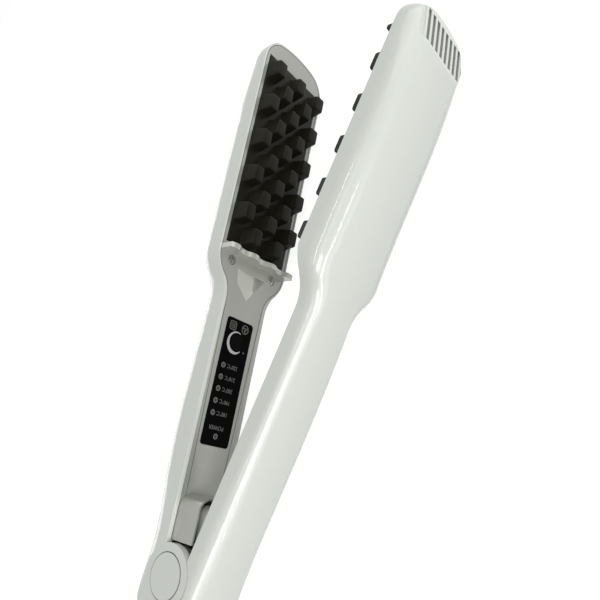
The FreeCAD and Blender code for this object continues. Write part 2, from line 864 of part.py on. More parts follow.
def vents(body, arm):
    """A facet that slants across the back of the nose, with a row of slots sunk in it."""
    tip = S["tip_reach"]
    low = tip - S["vent_run"]
    over = S["overcut"]

    def level(along):
        return BACK - (along - low) * S["vent_drop"] / S["vent_run"]

    facet = new_sketch(body, "XY_Plane")
    profile(facet, [
        (arm.x(level(low - over)), low - over, None),
        (arm.x(level(tip + over)), tip + over, None),
        (arm.x(BACK + over), tip + over, None),
    ])
    pocket(body, facet, (S["head_half"] + over) * 2, middle=True)
    start = low + S["slot_lead"]
    end = tip - S["slot_end"]
    depth = S["slot_depth"]
    sketch = new_sketch(body, "XY_Plane", S["slot_pitch"] * (as_size(1.0) - S["slot_count"]) / 2)
    profile(sketch, [
        (arm.x(level(start) + over), start, None),
        (arm.x(level(start) - depth), start, None),
        (arm.x(level(end) - depth), end, None),
        (arm.x(level(end) + over), end, None),
    ])
    slot = pocket(body, sketch, S["slot_width"], middle=True)
    row = body.newObject("PartDesign::LinearPattern", "Slots")
    row.Originals = [slot]
    row.Direction = (sketch, ["N_Axis"])
    bind(row, "Length", S["slot_pitch"] * (S["slot_count"] - 1))
    bind(row, "Occurrences", S["slot_count"])
    body.Tip = row
    doc.recompute()


def lid_outline(arm, seam):
    """The plan of an arm's cover, a seam smaller than its seat all round."""
    start = (HUMP_START if arm is ARM_A else LID_START_B) - S["seam"] + seam
    rim = S["rim_head"] + seam
    return arm_outline(
        S["neck_half"] - S["rim_neck"] - seam, S["head_half"] - rim, start, S["tip_reach"] - rim,
        LID_SHOULDER_START, LID_SHOULDER_END, S["corner_round"] - rim, S["nose_round"] - rim)


def plate_window(sketch):
    """The opening of a cover around its plate."""
    half = S["plate_half"] + S["plate_gap"]
    low = PLATE_START - S["plate_gap"]
    high = PLATE_END + S["plate_gap"]
    return rounded_outline(sketch, [
        (low, -half, None), (high, -half, None), (high, half, None), (low, half, None)])


def cover(arm):
    """The inner cover of an arm; the first one also has the hump, the collar and the control strip's seat."""
    name = f"cover_{arm.letter}"
    if arm is ARM_A:
        body = new_body(name)
        plan = new_sketch(body, "YZ_Plane", arm.x(FACE))
        rounded_outline(plan, lid_outline(arm, S["seam"]))
        pad(body, plan, S["lid"], True)
    else:
        body = stepped_plan(name, S["seam"])
        above_lid(body, S["head_half"])
    window = new_sketch(body, "YZ_Plane", arm.x(FACE))
    plate_window(window)
    pocket(body, window, S["lid"], arm.side > 0)
    face = screw_levels(arm)[0]
    for along, across in screw_places(arm):
        mirrored_round(body, "YZ_Plane", S["screw_head"] + S["screw_sink"], along, across,
                       arm.x(face), S["screw_sink"] + S["screw_head_thick"], False, arm.side > 0)
        mirrored_round(body, "YZ_Plane", S["screw_shank"] + S["pin_gap"], along, across,
                       arm.x(face), S["lid"], False, arm.side > 0)
    if arm is ARM_B:
        return finish_node(body, name, arm)
    backing(body)
    hump(body)
    collar(body)
    strip_seat(body)
    body.Label = "cover_a_uncut"
    cut = doc.addObject("Part::Cut", "Cut")
    cut.Base = body
    cut.Tool = scoop()
    return finish_node(cut, name, arm)


def backing(body):
    """A thicker patch behind the scoop."""
    sketch = new_sketch(body, "YZ_Plane", ARM_A.x(LID_UNDER))
    half = CAVITY_NECK - S["label_gap"]
    low = SCOOP_APEX - S["overcut"]
    high = SCOOP_LEDGE - S["label_gap"]
    rounded_outline(sketch, [(low, -half, None), (high, -half, None), (high, half, None), (low, half, None)])
    pad(body, sketch, S["backing"], True)


def hump(body):
    """The hollow hump near the hinge, round at its two corners towards the tip."""
    outer = new_sketch(body, "YZ_Plane", -FACE)
    corner = S["hump_corner"]
    rounded_outline(outer, [
        (HUMP_START, -HUMP_HALF, None), (HUMP_END, -HUMP_HALF, corner),
        (HUMP_END, HUMP_HALF, corner), (HUMP_START, HUMP_HALF, None)])
    pad(body, outer, S["hump_top"] + FACE)
    opening = new_sketch(body, "YZ_Plane", S["hump_top"])
    half = HUMP_HALF - S["hump_wall"]
    low = HUMP_START + S["hump_wall"]
    high = HUMP_END - S["hump_wall"]
    corner = corner - S["hump_wall"]
    rounded_outline(opening, [
        (low, -half, None), (high, -half, corner), (high, half, corner), (low, half, None)])
    pocket(body, opening, S["hump_top"] + FACE)


def collar(body):
    """The collar with a wavy top, a fin across the cover just below the plate."""
    sketch = new_sketch(body, "XZ_Plane", -COLLAR_END)
    half = S["wave_half"] / 2
    wave = S["collar_wave"]
    curve = (half * half + wave * wave) / wave / 2
    steps = [(-FACE, half * -COLLAR_WAVES, None)]
    for number in range(COLLAR_WAVES):
        bulge = curve if number % 2 else -curve
        steps.append((S["collar_level"], half * (2 * number - COLLAR_WAVES), bulge))
    steps.append((S["collar_level"], half * COLLAR_WAVES, None))
    steps.append((-FACE, half * COLLAR_WAVES, None))
    profile(sketch, steps)
    pad(body, sketch, S["collar_thick"])


def scoop():
    """A shallow hollow with a broad near facet, a steep far one and a thin ledge."""
    ledge = SCOOP_LEDGE.value
    half = SCOOP_HALF.value
    apex = SCOOP_APEX.value
    face = -FACE.value
    lift = S["scoop_depth"].value
    bed = face - lift
    middle = (ledge + apex) / 2
    rim = [(ledge, half), (middle, half * S["scoop_belly"].value), (apex, 0.0), (ledge, -half)]
    lid_points = [Vector(face + lift, along, across) for along, across in rim]
    points = [Vector(face, along, across) for along, across in rim]
    low = Vector(bed, ledge, -half * S["scoop_low"].value)
    faces = []
    for i in range(4):
        j = (i + 1) % 4
        faces.append([points[i], points[j], low])
        faces.append([lid_points[i], lid_points[j], points[j], points[i]])
    faces.append(lid_points)
    made = []
    for corners in faces:
        made.append(Part.Face(Part.makePolygon(corners + [corners[0]])))
    solid = Part.Solid(Part.makeShell(made))
    if solid.Volume < 0:
        solid.reverse()
    thing = doc.addObject("Part::Feature", "Scoop")
    thing.Shape = solid
    return thing


def lamp_places():
    """The five indicator lights: along and across."""
    for number in range(LAMPS):
        yield LAMP_FIRST - LAMP_PITCH * number, S["lamp_across"]
    yield POWER_LAMP, S["power_lamp_across"]


def strip_seat(body):
    """The seat of the control strip, with the holes for the button and the lights."""
    gap = S["label_gap"]
    sketch = new_sketch(body, "YZ_Plane", ARM_A.x(FACE))
    strip_outline(sketch, gap)
    pocket(body, sketch, S["label_thick"])
    mirrored_round(body, "YZ_Plane", S["button_radius"] + S["button_gap"], BUTTON_PLACE, S["button_across"],
                   ARM_A.x(FACE), S["lid"], False)
    for along, across in lamp_places():
        mirrored_round(body, "YZ_Plane", S["lamp_radius"] + S["lamp_gap"], along, across,
                       ARM_A.x(FACE), S["lid"], False)


def strip_outline(sketch, gap):
    """The rounded outline of the control strip, wider by a gap."""
    half = LABEL_HALF + gap
    low = LABEL_START - gap
    high = LABEL_END + gap
    corner = S["label_corner"] + gap
    return rounded_outline(sketch, [
        (low, -half, corner), (high, -half, corner), (high, half, corner), (low, half, corner)])


def label_panel():
    """The glossy control strip."""
    body = new_body("label_panel")
    sketch = new_sketch(body, "YZ_Plane", ARM_A.x(FACE))
    strip_outline(sketch, as_size(0.0))
    pad(body, sketch, S["label_thick"], True)
    mirrored_round(body, "YZ_Plane", S["button_radius"] + S["button_gap"], BUTTON_PLACE, S["button_across"],
                   ARM_A.x(FACE), S["label_thick"], False)
    for along, across in lamp_places():
        mirrored_round(body, "YZ_Plane", S["lamp_radius"] + S["lamp_gap"], along, across,
                       ARM_A.x(FACE), S["label_thick"], False)
    return finish_node(body, "label_panel", ARM_A)


def mode_button():
    """The round push button, with a flange behind the cover."""
    under = LID_UNDER + S["button_gap"]
    foot = under + S["flange_thick"]
    top = FACE - S["button_rise"]
    cap = sunk_pin(ARM_A, S["button_radius"], (top, foot), BUTTON_PLACE, S["button_across"])
    flange = sunk_pin(ARM_A, S["button_flange"], (under, foot), BUTTON_PLACE, S["button_across"])
    return built("mode_button", ARM_A, [cap, flange])


def button_foot():
    """How deep the button's foot lies at rest."""
    return LID_UNDER + S["button_gap"] + S["flange_thick"]


def tact_switch():
    """The switch under the button."""
    half = S["button_radius"]
    top = button_foot() + S["button_travel"] + S["lamp_gap"]
    along = (BUTTON_PLACE - half, BUTTON_PLACE + half)
    across = (S["button_across"] - half, S["button_across"] + half)
    return built("tact_switch", ARM_A, [block(ARM_A, (top, S["board_depth"]), along, across)])


def circuit_board():
    """The board on its posts."""
    along = (BOARD_START, BOARD_END)
    across = (-BOARD_HALF, BOARD_HALF)
    depth = (S["board_depth"], S["board_depth"] + S["board_thick"])
    return built("circuit_board", ARM_A, [block(ARM_A, depth, along, across)])


def power_module():
    """The power part on the board."""
    depth = (S["board_depth"] - S["module_thick"], S["board_depth"])
    low = BOARD_START + S["module_low"]
    along = (low, low + S["module_length"])
    return built("power_module", ARM_A, [block(ARM_A, depth, along, (-S["module_half"], 0.0))])


def light_guide():
    """A clear bar behind the cover with a pin for each light."""
    half = S["guide_half"]
    depth = (LID_UNDER, LID_UNDER + S["guide_thick"])
    pieces = [
        block(ARM_A, depth, (POWER_LAMP - half, LAMP_FIRST + half),
              (S["lamp_across"] - half, S["lamp_across"] + half)),
        block(ARM_A, depth, (POWER_LAMP - half, POWER_LAMP + half),
              (S["power_lamp_across"] - half, S["lamp_across"])),
    ]
    for along, across in lamp_places():
        pieces.append(sunk_pin(ARM_A, S["lamp_radius"], (FACE, LID_UNDER), along, across))
    return built("light_guide", ARM_A, pieces)


def cover_screws(arm):
    """The two screws of a cover."""
    face, lid_under = screw_levels(arm)
    head_under = face + S["screw_sink"] + S["screw_head_thick"]
    long_half = S["slot_long"]
    wide_half = S["slot_wide"]
    for number, (along, across) in enumerate(screw_places(arm), start=1):
        head = sunk_pin(arm, S["screw_head"], (face + S["screw_sink"], head_under), along, across)
        shank = sunk_pin(arm, S["screw_shank"], (face + S["screw_sink"] + S["slot_deep"],
                                                 lid_under + S["screw_length"]), along, across)
        slots = []
        for up, over in ((long_half, wide_half), (wide_half, long_half)):
            slots.append(block(arm, (face, face + S["screw_sink"] + S["slot_deep"]),
                               (along - up, along + up), (across - over, across + over)))
        built(f"cover_screw_{arm.letter}{number}", arm, [head, shank], slots)


def stud_places(arm):
    """Where the studs stand: along, across and their length at the base and at the top."""
    for column in range(STUD_COLUMNS):
        across = STUD_PITCH_ACROSS * (column - STUD_COLUMNS // 2)
        odd = (column % 2 == 1) == (arm is ARM_A)
        for row in range(1 if odd else 0, STUD_ROWS, 2):
            yield STUD_FIRST - STUD_PITCH * row, across, STUD_LENGTH, STUD_TOP
        if arm is ARM_B and odd:
            short = S["short_stud"]
            place = PLATE_END - S["short_stud_margin"] - short / 2
            yield place, across, short, short - S["stud_draft"]


def stud(arm, place):
    """One tapered stud on its plate."""
    along, across, base, top = place
    level = FACE - S["plate_rise"]
    thing = doc.addObject("Part::Wedge", "Stud")
    wide = S["stud_base_width"] / 2
    narrow = wide - S["stud_draft"] / 2
    sizes = {
        "Xmin": -base / 2, "Xmax": base / 2, "X2min": -top / 2, "X2max": top / 2,
        "Ymin": -S["stud_root"], "Ymax": S["stud_height"],
        "Zmin": -wide, "Zmax": wide, "Z2min": -narrow, "Z2max": narrow,
    }
    for prop, size in sizes.items():
        bind(thing, prop, size)
    place = placement_text(arm.x(level), along, across, (0, 0, 1), 90.0 * arm.side)
    thing.setExpression("Placement", place)
    return thing, place


def plate(arm):
    """The heated plate with its studs."""
    depth = (FACE - S["plate_rise"], LID_UNDER)
    slab = block(arm, depth, (PLATE_START, PLATE_END), (-S["plate_half"], S["plate_half"]))
    studs = [stud(arm, place) for place in stud_places(arm)]
    return built(f"plate_{arm.letter}", arm, [slab] + studs)


def plate_frame(arm):
    """The heat-proof frame under the plate, on feet that stand on the hollow's first step."""
    body = new_body(f"plate_frame_{arm.letter}")
    low = PLATE_START
    high = PLATE_END
    half = S["frame_half"]
    inner = S["frame_inner"]
    lip = half - inner
    corner = S["frame_corner"]
    ring = new_sketch(body, "YZ_Plane", arm.x(LID_UNDER))
    rounded_outline(ring, [
        (low, -half, None), (high, -half, corner), (high, half, corner), (low, half, None)])
    rounded_outline(ring, [
        (low + lip, -inner, None), (high - lip, -inner, None),
        (high - lip, inner, None), (low + lip, inner, None)])
    pad(body, ring, S["frame_thick"], arm.side < 0)
    length = S["foot_length"]
    level = LID_UNDER + S["frame_thick"]
    for along in (low + S["overcut"], high - corner - length):
        for way in (-1, 1):
            foot = new_sketch(body, "YZ_Plane", arm.x(level))
            near = (inner + S["foot_inset"]) * way
            far = (inner + S["foot_inset"] + S["foot_width"]) * way
            rounded_outline(foot, [
                (along, near, None), (along + length, near, None),
                (along + length, far, None), (along, far, None)])
            pad(body, foot, S["step_head_level"] - level, arm.side < 0)
    return finish_node(body, body.Label, arm)


def heating_parts(arm):
    """The heater under the plate, the clip that holds it and the sensor beside it."""
    along = (PLATE_START + S["heater_low"], PLATE_END - S["heater_high"])
    under = LID_UNDER + S["heater_thick"]
    heater = block(arm, (LID_UNDER, under), along, (-S["heater_half"], S["heater_half"]))
    built(f"heater_{arm.letter}", arm, [heater])
    half = S["clip_half"]
    thick = S["clip_thick"]
    low = along[0] + S["clip_inset"]
    high = along[1] - S["clip_inset"]
    strip = block(arm, (under, under + thick), (low, high), (-half, half))
    legs = [block(arm, (under, FLOOR), (end, end + thick), (-half, half)) for end in (low, high - thick)]
    built(f"heater_clip_{arm.letter}", arm, [strip] + legs)
    middle = PLATE_START + S["sensor_place"]
    sensor = (middle - S["sensor_length"] / 2, middle + S["sensor_length"] / 2)
    across = (-S["sensor_half"], S["sensor_half"])
    built(f"thermistor_{arm.letter}", arm, [block(arm, (LID_UNDER, under), sensor, across)])


def thermal_fuse():
    """The round fuse that lies against the first plate."""
    middle = PLATE_START + S["fuse_place"]
    along = (middle - S["fuse_length"] / 2, middle + S["fuse_length"] / 2)
    depth = LID_UNDER + S["fuse_radius"] + S["pin_gap"]
    return built("thermal_fuse", ARM_A, [long_pin(ARM_A, S["fuse_radius"], depth, along, S["fuse_across"])])


def hinge_pin():
    """The steel pin that both arms turn on."""
    end = S["neck_half"] - S["cap_thick"]
    return built("hinge_pin", ARM_A, [cross_pin(S["pin_radius"], (-end, end))])


def hinge_caps():
    """The round caps over the ends of the pin."""
    low = S["neck_half"] - S["cap_thick"]
    high = S["neck_half"] + S["cap_rise"]
    built("hinge_cap_near", ARM_A, [cross_pin(S["cap_radius"], (low, high))])
    built("hinge_cap_far", ARM_A, [cross_pin(S["cap_radius"], (-high, -low))])


def hinge_barrel():
    """An open sleeve round the spring, on a rib that stands on the first shell's floor."""
    half = LUG_INNER - S["spring_gap"]
    over = half + S["overcut"]
    wide = S["barrel_radius"] + S["overcut"]
    outer = cross_pin(S["barrel_radius"], (-half, half))
    inner = cross_pin(S["barrel_radius"] - S["barrel_wall"], (-over, over))
    mouth = block(ARM_B, (-wide, wide), (S["barrel_mouth"], wide), (-over, over))
    depth = (S["barrel_radius"] - S["barrel_wall"], FLOOR)
    rib = block(ARM_A, depth, (-S["barrel_mouth"], S["barrel_mouth"]), (-half, half))
    return built("hinge_barrel", ARM_A, [outer, rib], [inner, mouth])


def opening_spring():
    """A torsion spring round the pin: a wire in turns, with a straight leg at its last turn."""
    coil = S["spring_radius"].value
    wire = S["spring_wire"].value
    half = LUG_INNER.value - S["spring_gap"].value - wire
    pitch = 2 * half / S["spring_turns"].value
    print(f"opening_spring: least gap between turns {pitch - 2 * wire:.2f} mm")
    helix = Part.makeHelix(pitch, 2 * half, coil)
    helix.translate(Vector(0, 0, -half))
    section = Part.Wire([Part.makeCircle(wire, Vector(coil, 0, -half), Vector(0, 1, 0))])
    turns = Part.Wire(helix.Edges).makePipeShell([section], True, True)
    leg = Part.makeCylinder(wire, S["spring_leg"].value, Vector(coil, 0, half), Vector(0, 1, 0))
    thing = doc.addObject("Part::Feature", "OpeningSpring")
    thing.Shape = turns.fuse(leg).removeSplitter()
    return finish_node(thing, "opening_spring", ARM_A)


def plunger():
    """What dips from the second arm into the hump: its side, on an arc about the hinge, and its plan."""
    side_body = new_body("plunger_side")
    side = new_sketch(side_body, "XY_Plane")
    top = S["barrel_radius"] + S["spring_gap"] + S["plunger_root"]
    far = S["plunger_far"]
    reach = PLUNGER_REACH
    profile(side, [
        (top, PLUNGER_START, None),
        (S["plunger_near"], PLUNGER_START, None),
        (-far, root(reach * reach - far * far), reach),
        (top, root(reach * reach - top * top), None),
    ])
    pad(side_body, side, PLUNGER_HALF * 2, middle=True)
    plan_body = new_body("plunger_plan")
    plan = new_sketch(plan_body, "YZ_Plane", -(far + S["overcut"]))
    corner = S["plunger_corner"]
    rounded_outline(plan, [
        (PLUNGER_START, -PLUNGER_HALF, None), (reach, -PLUNGER_HALF, corner),
        (reach, PLUNGER_HALF, corner), (PLUNGER_START, PLUNGER_HALF, None)])
    pad(plan_body, plan, top + far + S["overcut"] * 2)
    both = doc.addObject("Part::Common", "Plunger")
    both.Base = side_body
    both.Tool = plan_body
    return both, None


def hinge_block():
    """The second arm's hinge block: two lugs on the pin, a bridge on the shell's floor and a plunger."""
    lugs = []
    for way in (-1, 1):
        low, high = (LUG_INNER, LUG_OUTER) if way > 0 else (-LUG_OUTER, -LUG_INNER)
        lugs.append(cross_pin(S["lug_radius"], (low, high)))
    along = (-S["block_tail"], LID_START_B - S["block_back"] - S["lid_clear_b"])
    bridge = block(ARM_B, (S["barrel_radius"] + S["spring_gap"], FLOOR), along, (-LUG_OUTER, LUG_OUTER))
    over = LUG_OUTER + S["overcut"]
    bore = cross_pin(S["pin_radius"] + S["pin_gap"], (-over, over))
    return built("hinge_block_b", ARM_B, lugs + [bridge, plunger()], [bore])


def cord_gland():
    """The swivelling gland in the tail."""
    low = -(TAIL_REACH + S["gland_out"])
    inner = -TAIL_INNER
    depth = S["gland_depth"]
    bush = long_pin(ARM_A, S["gland_radius"], depth, (low, inner + S["gland_in"]), 0.0)
    collar_out = long_pin(ARM_A, S["gland_flange"], depth, (low, -(TAIL_REACH + S["spring_gap"])), 0.0)
    over = S["overcut"]
    bore = long_pin(ARM_A, S["gland_bore"], depth, (low - over, inner + S["gland_in"] + over), 0.0)
    return built("cord_gland", ARM_A, [bush, collar_out], [bore])


def make_all():
    """Every sub-part of the tool."""
    for arm in (ARM_A, ARM_B):
        shell(arm)
        cover(arm)
        plate(arm)
        plate_frame(arm)
        heating_parts(arm)
        cover_screws(arm)
    label_panel()
    light_guide()
    mode_button()
    circuit_board()
    tact_switch()
    power_module()
    thermal_fuse()
    hinge_pin()
    hinge_caps()
    hinge_barrel()
    opening_spring()
    hinge_block()
    cord_gland()


def check_and_write():
    """Refuses a failed object or an invalid shape, then writes one file for each sub-part."""
    doc.recompute()
    for thing in doc.Objects:
        if "Invalid" in thing.State or "Error" in thing.State:
            raise RuntimeError(f"{thing.Label} is {thing.State}")
    for node in NODES:
        shape = node.Shape
        if shape.isNull() or not shape.isValid():
            raise RuntimeError(f"{node.Label} has no valid shape")
    os.makedirs("parts", exist_ok=True)
    for node in NODES:
        node.Shape.exportStep(f"parts/{node.Label}.step")
        print(f"{node.Label}: {len(node.Shape.Solids)} solids, {node.Shape.Volume:.0f} mm3")


make_all()
check_and_write()
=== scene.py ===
import json
import math

import bmesh
import bpy
import numpy as np
from mathutils import Euler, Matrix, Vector


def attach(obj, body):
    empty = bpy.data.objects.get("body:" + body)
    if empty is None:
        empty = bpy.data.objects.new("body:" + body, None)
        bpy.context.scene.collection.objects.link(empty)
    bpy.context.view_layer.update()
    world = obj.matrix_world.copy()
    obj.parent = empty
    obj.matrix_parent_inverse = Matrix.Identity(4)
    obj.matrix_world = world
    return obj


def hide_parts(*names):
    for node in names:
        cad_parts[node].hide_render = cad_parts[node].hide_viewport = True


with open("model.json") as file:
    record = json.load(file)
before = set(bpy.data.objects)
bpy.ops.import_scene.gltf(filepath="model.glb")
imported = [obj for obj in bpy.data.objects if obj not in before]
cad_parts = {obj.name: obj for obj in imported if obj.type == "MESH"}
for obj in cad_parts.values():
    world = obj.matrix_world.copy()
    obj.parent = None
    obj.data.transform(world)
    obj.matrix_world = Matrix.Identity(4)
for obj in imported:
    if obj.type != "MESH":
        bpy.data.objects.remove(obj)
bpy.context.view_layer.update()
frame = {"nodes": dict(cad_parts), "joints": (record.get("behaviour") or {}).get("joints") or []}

bl_info = {
    "name": "Hair crimper dressing",
    "version": (1, 0, 0),
    "blender": (4, 5, 0),
    "location": "View3D > Sidebar > Crimper",
    "description": "Dresses the packed hair crimper with its finishes and fine pieces",
    "category": "Object",
}

# Lengths are in metres. Points nearer than SAME_PLACE are one point, and TINY keeps a flat triangle's
# normal from a division by nought.
MM = 0.001
SAME_PLACE = 1e-7
TINY = 1e-12

# The joint between the arms
JAW = next(joint for joint in frame["joints"] if joint["name"] == "jaw_hinge")
HINGE = np.array(JAW["pos_m"], float)
HALF_OPEN = math.radians(JAW["range_deg"][1]) / 2

# Shells: the depth of the back, where its nose starts and how steeply that falls, the row of vent slots,
# whose recesses get painted shade, the groove round the hinge cap, which gets a ring of painted shade,
# and the crown, the back's fall in metres at a metre from its middle
BACK = 17.6 * MM
NOSE_START = 229.4 * MM
NOSE_SLOPE = 0.318
VENT_PITCH = 3.9 * MM
VENT_WIDTH = 2.4 * MM
VENT_SLACK = 0.05 * MM
VENT_MIDDLE = 238.25 * MM
VENT_RUN = 14.6 * MM
VENT_HALF = 15.9 * MM
VENT_DEPTHS = (0.3 * MM, 1.5 * MM)
CAP_RIM = 8.55 * MM
GROOVE_HALF = 0.22 * MM
CROWN = 9.0

# Covers: the depth of the face and of the second arm's neck, the step between the two, the half widths
# on both sides of the shoulder, the collar, and the near side of the scoop with its place along and across;
# the collar's top and the scoop's near side get painted light
FACE = 4.0 * MM
LOW_FACE_B = 7.7 * MM
FACE_STEP = (126 * MM, 136 * MM)
SHOULDER = (113 * MM, 135 * MM)
COVER_HALVES = (11.5 * MM, 21.0 * MM)
COLLAR_MIDDLE = 134.4 * MM
COLLAR_HALF = 1.6 * MM
COLLAR_RISE = 0.1 * MM
SCOOP_MIDDLE = (121.4 * MM, 3.7 * MM)
SCOOP_HALVES = (7.0 * MM, 7.3 * MM)
SCOOP_FALL = 0.05 * MM

# Seams: the band's width and its two depths from the face, and how the wall's edge is told in the mesh
SEAM_WIDTH = 0.36 * MM
SEAM_DEPTHS = (-0.02 * MM, 0.30 * MM)
WALL_LEAN = 0.2
EDGE_SLACK = 0.12 * MM
OUTLINE_SLACK = 2.6 * MM
TIP_ROUND = 240 * MM
EDGE_DECIMALS = 7

# Plates: the slab, and the studs. A stud's foot is rings of (further in depth, further out). The short
# stud at the tip is (place along, length at the base, length at the top).
SLAB_THICKNESS = 2.1 * MM
SLAB_EDGE = 0.4 * MM
SLAB_POWER = 40.0
PLATE_FACE = 3.9 * MM
STUD_EDGE = 0.55 * MM
STUD_POWER = 9.0
STUD_FOOT = ((0.3 * MM, 0.4 * MM), (0.0, 0.05 * MM), (-0.4 * MM, -0.1 * MM))
STUD_COLUMNS = 5
STUDS_IN_COLUMN = 5
TIP_STUD = (236.05 * MM, 3.8 * MM, 2.0 * MM)
CORNER_CROWDING = 0.2

# Marks of the control strip. Places are (along, across). A symbol is (along, across, half its size). The
# figures' feet stand a share of a letter's size beyond their lamp.
TEMPERATURES = (220, 210, 200, 190, 180)
FIGURES_ACROSS = 2.5 * MM
FIGURES_FEET = 0.35
POWER_FEET = 4.4 * MM
POWER_ACROSS = 0.9 * MM
PLUS_PLACE = (93.4 * MM, -5.4 * MM)
PRINT_HEIGHT = 0.06 * MM
PRINT_GAP = 0.01 * MM
ARC_START, ARC_TURN = 112, -248
ARC_WIDTH, ARC_SWELL, ARC_LEAN = 0.40 * MM, 1.15 * MM, 1.5
SYMBOL_LINE = 0.34 * MM
WAVE_SYMBOL = (102.8 * MM, 4.1 * MM, 1.85 * MM)
WAVE_SWING, WAVE_TURNS = 0.22 * MM, 7
TURN_SYMBOL = (102.9 * MM, -3.6 * MM, 1.95 * MM)

# Grain: the detail of the fine noise, the scale and detail of the broad one, and the height of the bump
FINE_DETAIL = 3.0
BROAD_SCALE, BROAD_DETAIL = 22.0, 2.0
GRAIN_HEIGHT = 0.2 * MM

# Stage: the camera's sensor in millimetres and its nearest sight, half the floor's side, the lamps as
# (setting of its power, place, sizes), and the spot that they shine at
SENSOR_WIDTH = 36.0
NEAREST = 0.01
FLOOR_HALF = 3.0
LAMPS = (
    ("key", (0.66, -0.22, 0.52), (0.60, 0.30)),
    ("top", (0.22, 0.00, 0.80), (0.60, 0.06)),
    ("low", (0.85, -0.15, 0.10), (0.70, 0.10)),
    ("tip", (0.25, 0.65, 0.40), (0.65, 0.65)),
    ("back", (-0.70, 0.05, 0.12), (0.70, 0.40)),
)
LAMP_AIM = Vector((0, 0, 0.02))


# The arms


def mesh_points(mesh):
    """A mesh's points, one row each."""
    points = np.zeros(len(mesh.vertices) * 3)
    mesh.vertices.foreach_get("co", points)
    return points.reshape(-1, 3)


class Arm:
    """One arm of the tool. Its own coordinates are depth from the plane between the arms, place along
    the arm from the hinge axis and place across it, towards the upper side of the tool as it lies."""

    def __init__(self, letter, side):
        self.letter = letter
        self.side = side
        self.body = f"arm_{letter}"
        turn = -HALF_OPEN * side
        self.turn = np.array([[math.cos(turn), -math.sin(turn), 0.0],
                              [math.sin(turn), math.cos(turn), 0.0],
                              [0.0, 0.0, 1.0]])

    def place(self, depth, along, across):
        """Arm coordinates as points of the shared frame: the depth is signed for the arm's side, and the
        point is turned about the hinge axis and moved to it."""
        own = np.stack(np.broadcast_arrays(self.side * np.asarray(depth), along, across), axis=-1)
        return own @ self.turn.T + HINGE

    def own(self, points):
        """Points of the shared frame as arm coordinates, the same steps backwards."""
        turned = (np.asarray(points) - HINGE) @ self.turn
        turned[:, 0] *= self.side
        return turned

    def box(self, node):
        """The lowest and highest arm coordinates of a CAD node."""
        own = self.own(mesh_points(frame["nodes"][node].data))
        return own.min(axis=0), own.max(axis=0)


ARM_A = Arm("a", -1)
ARM_B = Arm("b", 1)


# Meshes


def grid_faces(rows, columns, wrap_rows=False):
    """The four-sided faces between neighbouring rows and columns of points. The last column joins the
    first, and so does a wrapped last row."""
    row, column = np.meshgrid(np.arange(rows if wrap_rows else rows - 1), np.arange(columns), indexing="ij")
    below, ahead = (row + 1) % rows, (column + 1) % columns
    corners = [here * columns + there for here, there in ((row, column), (row, ahead), (below, ahead),
                                                          (below, column))]
    return [tuple(face) for face in np.stack(corners, axis=-1).reshape(-1, 4)]


def facing_out(faces, inside_out):
    """The faces, each turned round where their solid would be inside out. The arms' coordinates mirror
    each other, so what faces out on one arm faces in on the other."""
    return [face[::-1] for face in faces] if inside_out else faces


def join_parts(parts):
    """Several (points, faces) as one pair: each part's faces count on from the points before it."""
    points, faces, count = [], [], 0
    for part_points, part_faces in parts:
        points.append(part_points)
        faces.extend([tuple(index + count for index in face) for face in part_faces])
        count += len(part_points)
    return np.concatenate(points), faces


def new_piece(name, points, faces, material, body, smooth=True):
    """A mesh object made from arrays of points and faces, riding on a body."""
    mesh = bpy.data.meshes.new(name)
    mesh.from_pydata(points.tolist(), [], faces)
    mesh.validate()
    mesh.polygons.foreach_set("use_smooth", [smooth] * len(mesh.polygons))
    mesh.materials.append(material)
    piece = bpy.data.objects.new(name, mesh)
    bpy.context.scene.collection.objects.link(piece)
    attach(piece, body)
    return piece


def quarter_round(edge, count):
    """A round edge as pairs of depth and inset: at angle t of its quarter turn, the depth is the edge
    times (1 minus the sine of t), and the inset is the edge times (1 minus the cosine of t)."""
    return [(edge * (1 - math.sin(angle)), edge * (1 - math.cos(angle)))
            for angle in np.linspace(0, math.pi / 2, count)]


def ring_solid(arm, rings, columns, power, centre):
    """A closed solid of rounded rectangles carried along the depth. Each ring is (depth, half length,
    half width): a point at angle t lies at the half sizes times (cos t, sin t), divided by the
    power-norm of (cos t, sin t), which gives flat sides with round corners. Each of the even angles
    gains CORNER_CROWDING times the sine of its fourfold, so they crowd towards the corners."""
    even = np.linspace(0, 2 * math.pi, columns, endpoint=False)
    angle = even + CORNER_CROWDING * np.sin(4 * even)
    cos, sin = np.cos(angle), np.sin(angle)
    norm = (np.abs(cos) ** power + np.abs(sin) ** power) ** (1 / power)
    rings = np.asarray(rings)
    along = centre[0] + rings[:, 1:2] * (cos / norm)[None]
    across = centre[1] + rings[:, 2:3] * (sin / norm)[None]
    depth = np.repeat(rings[:, 0:1], columns, axis=1)
    last = (len(rings) - 1) * columns
    ends = [tuple(range(columns))[::-1], tuple(range(last, last + columns))]
    faces = facing_out(grid_faces(len(rings), columns) + ends, arm is ARM_B)
    return arm.place(depth, along, across).reshape(-1, 3), faces


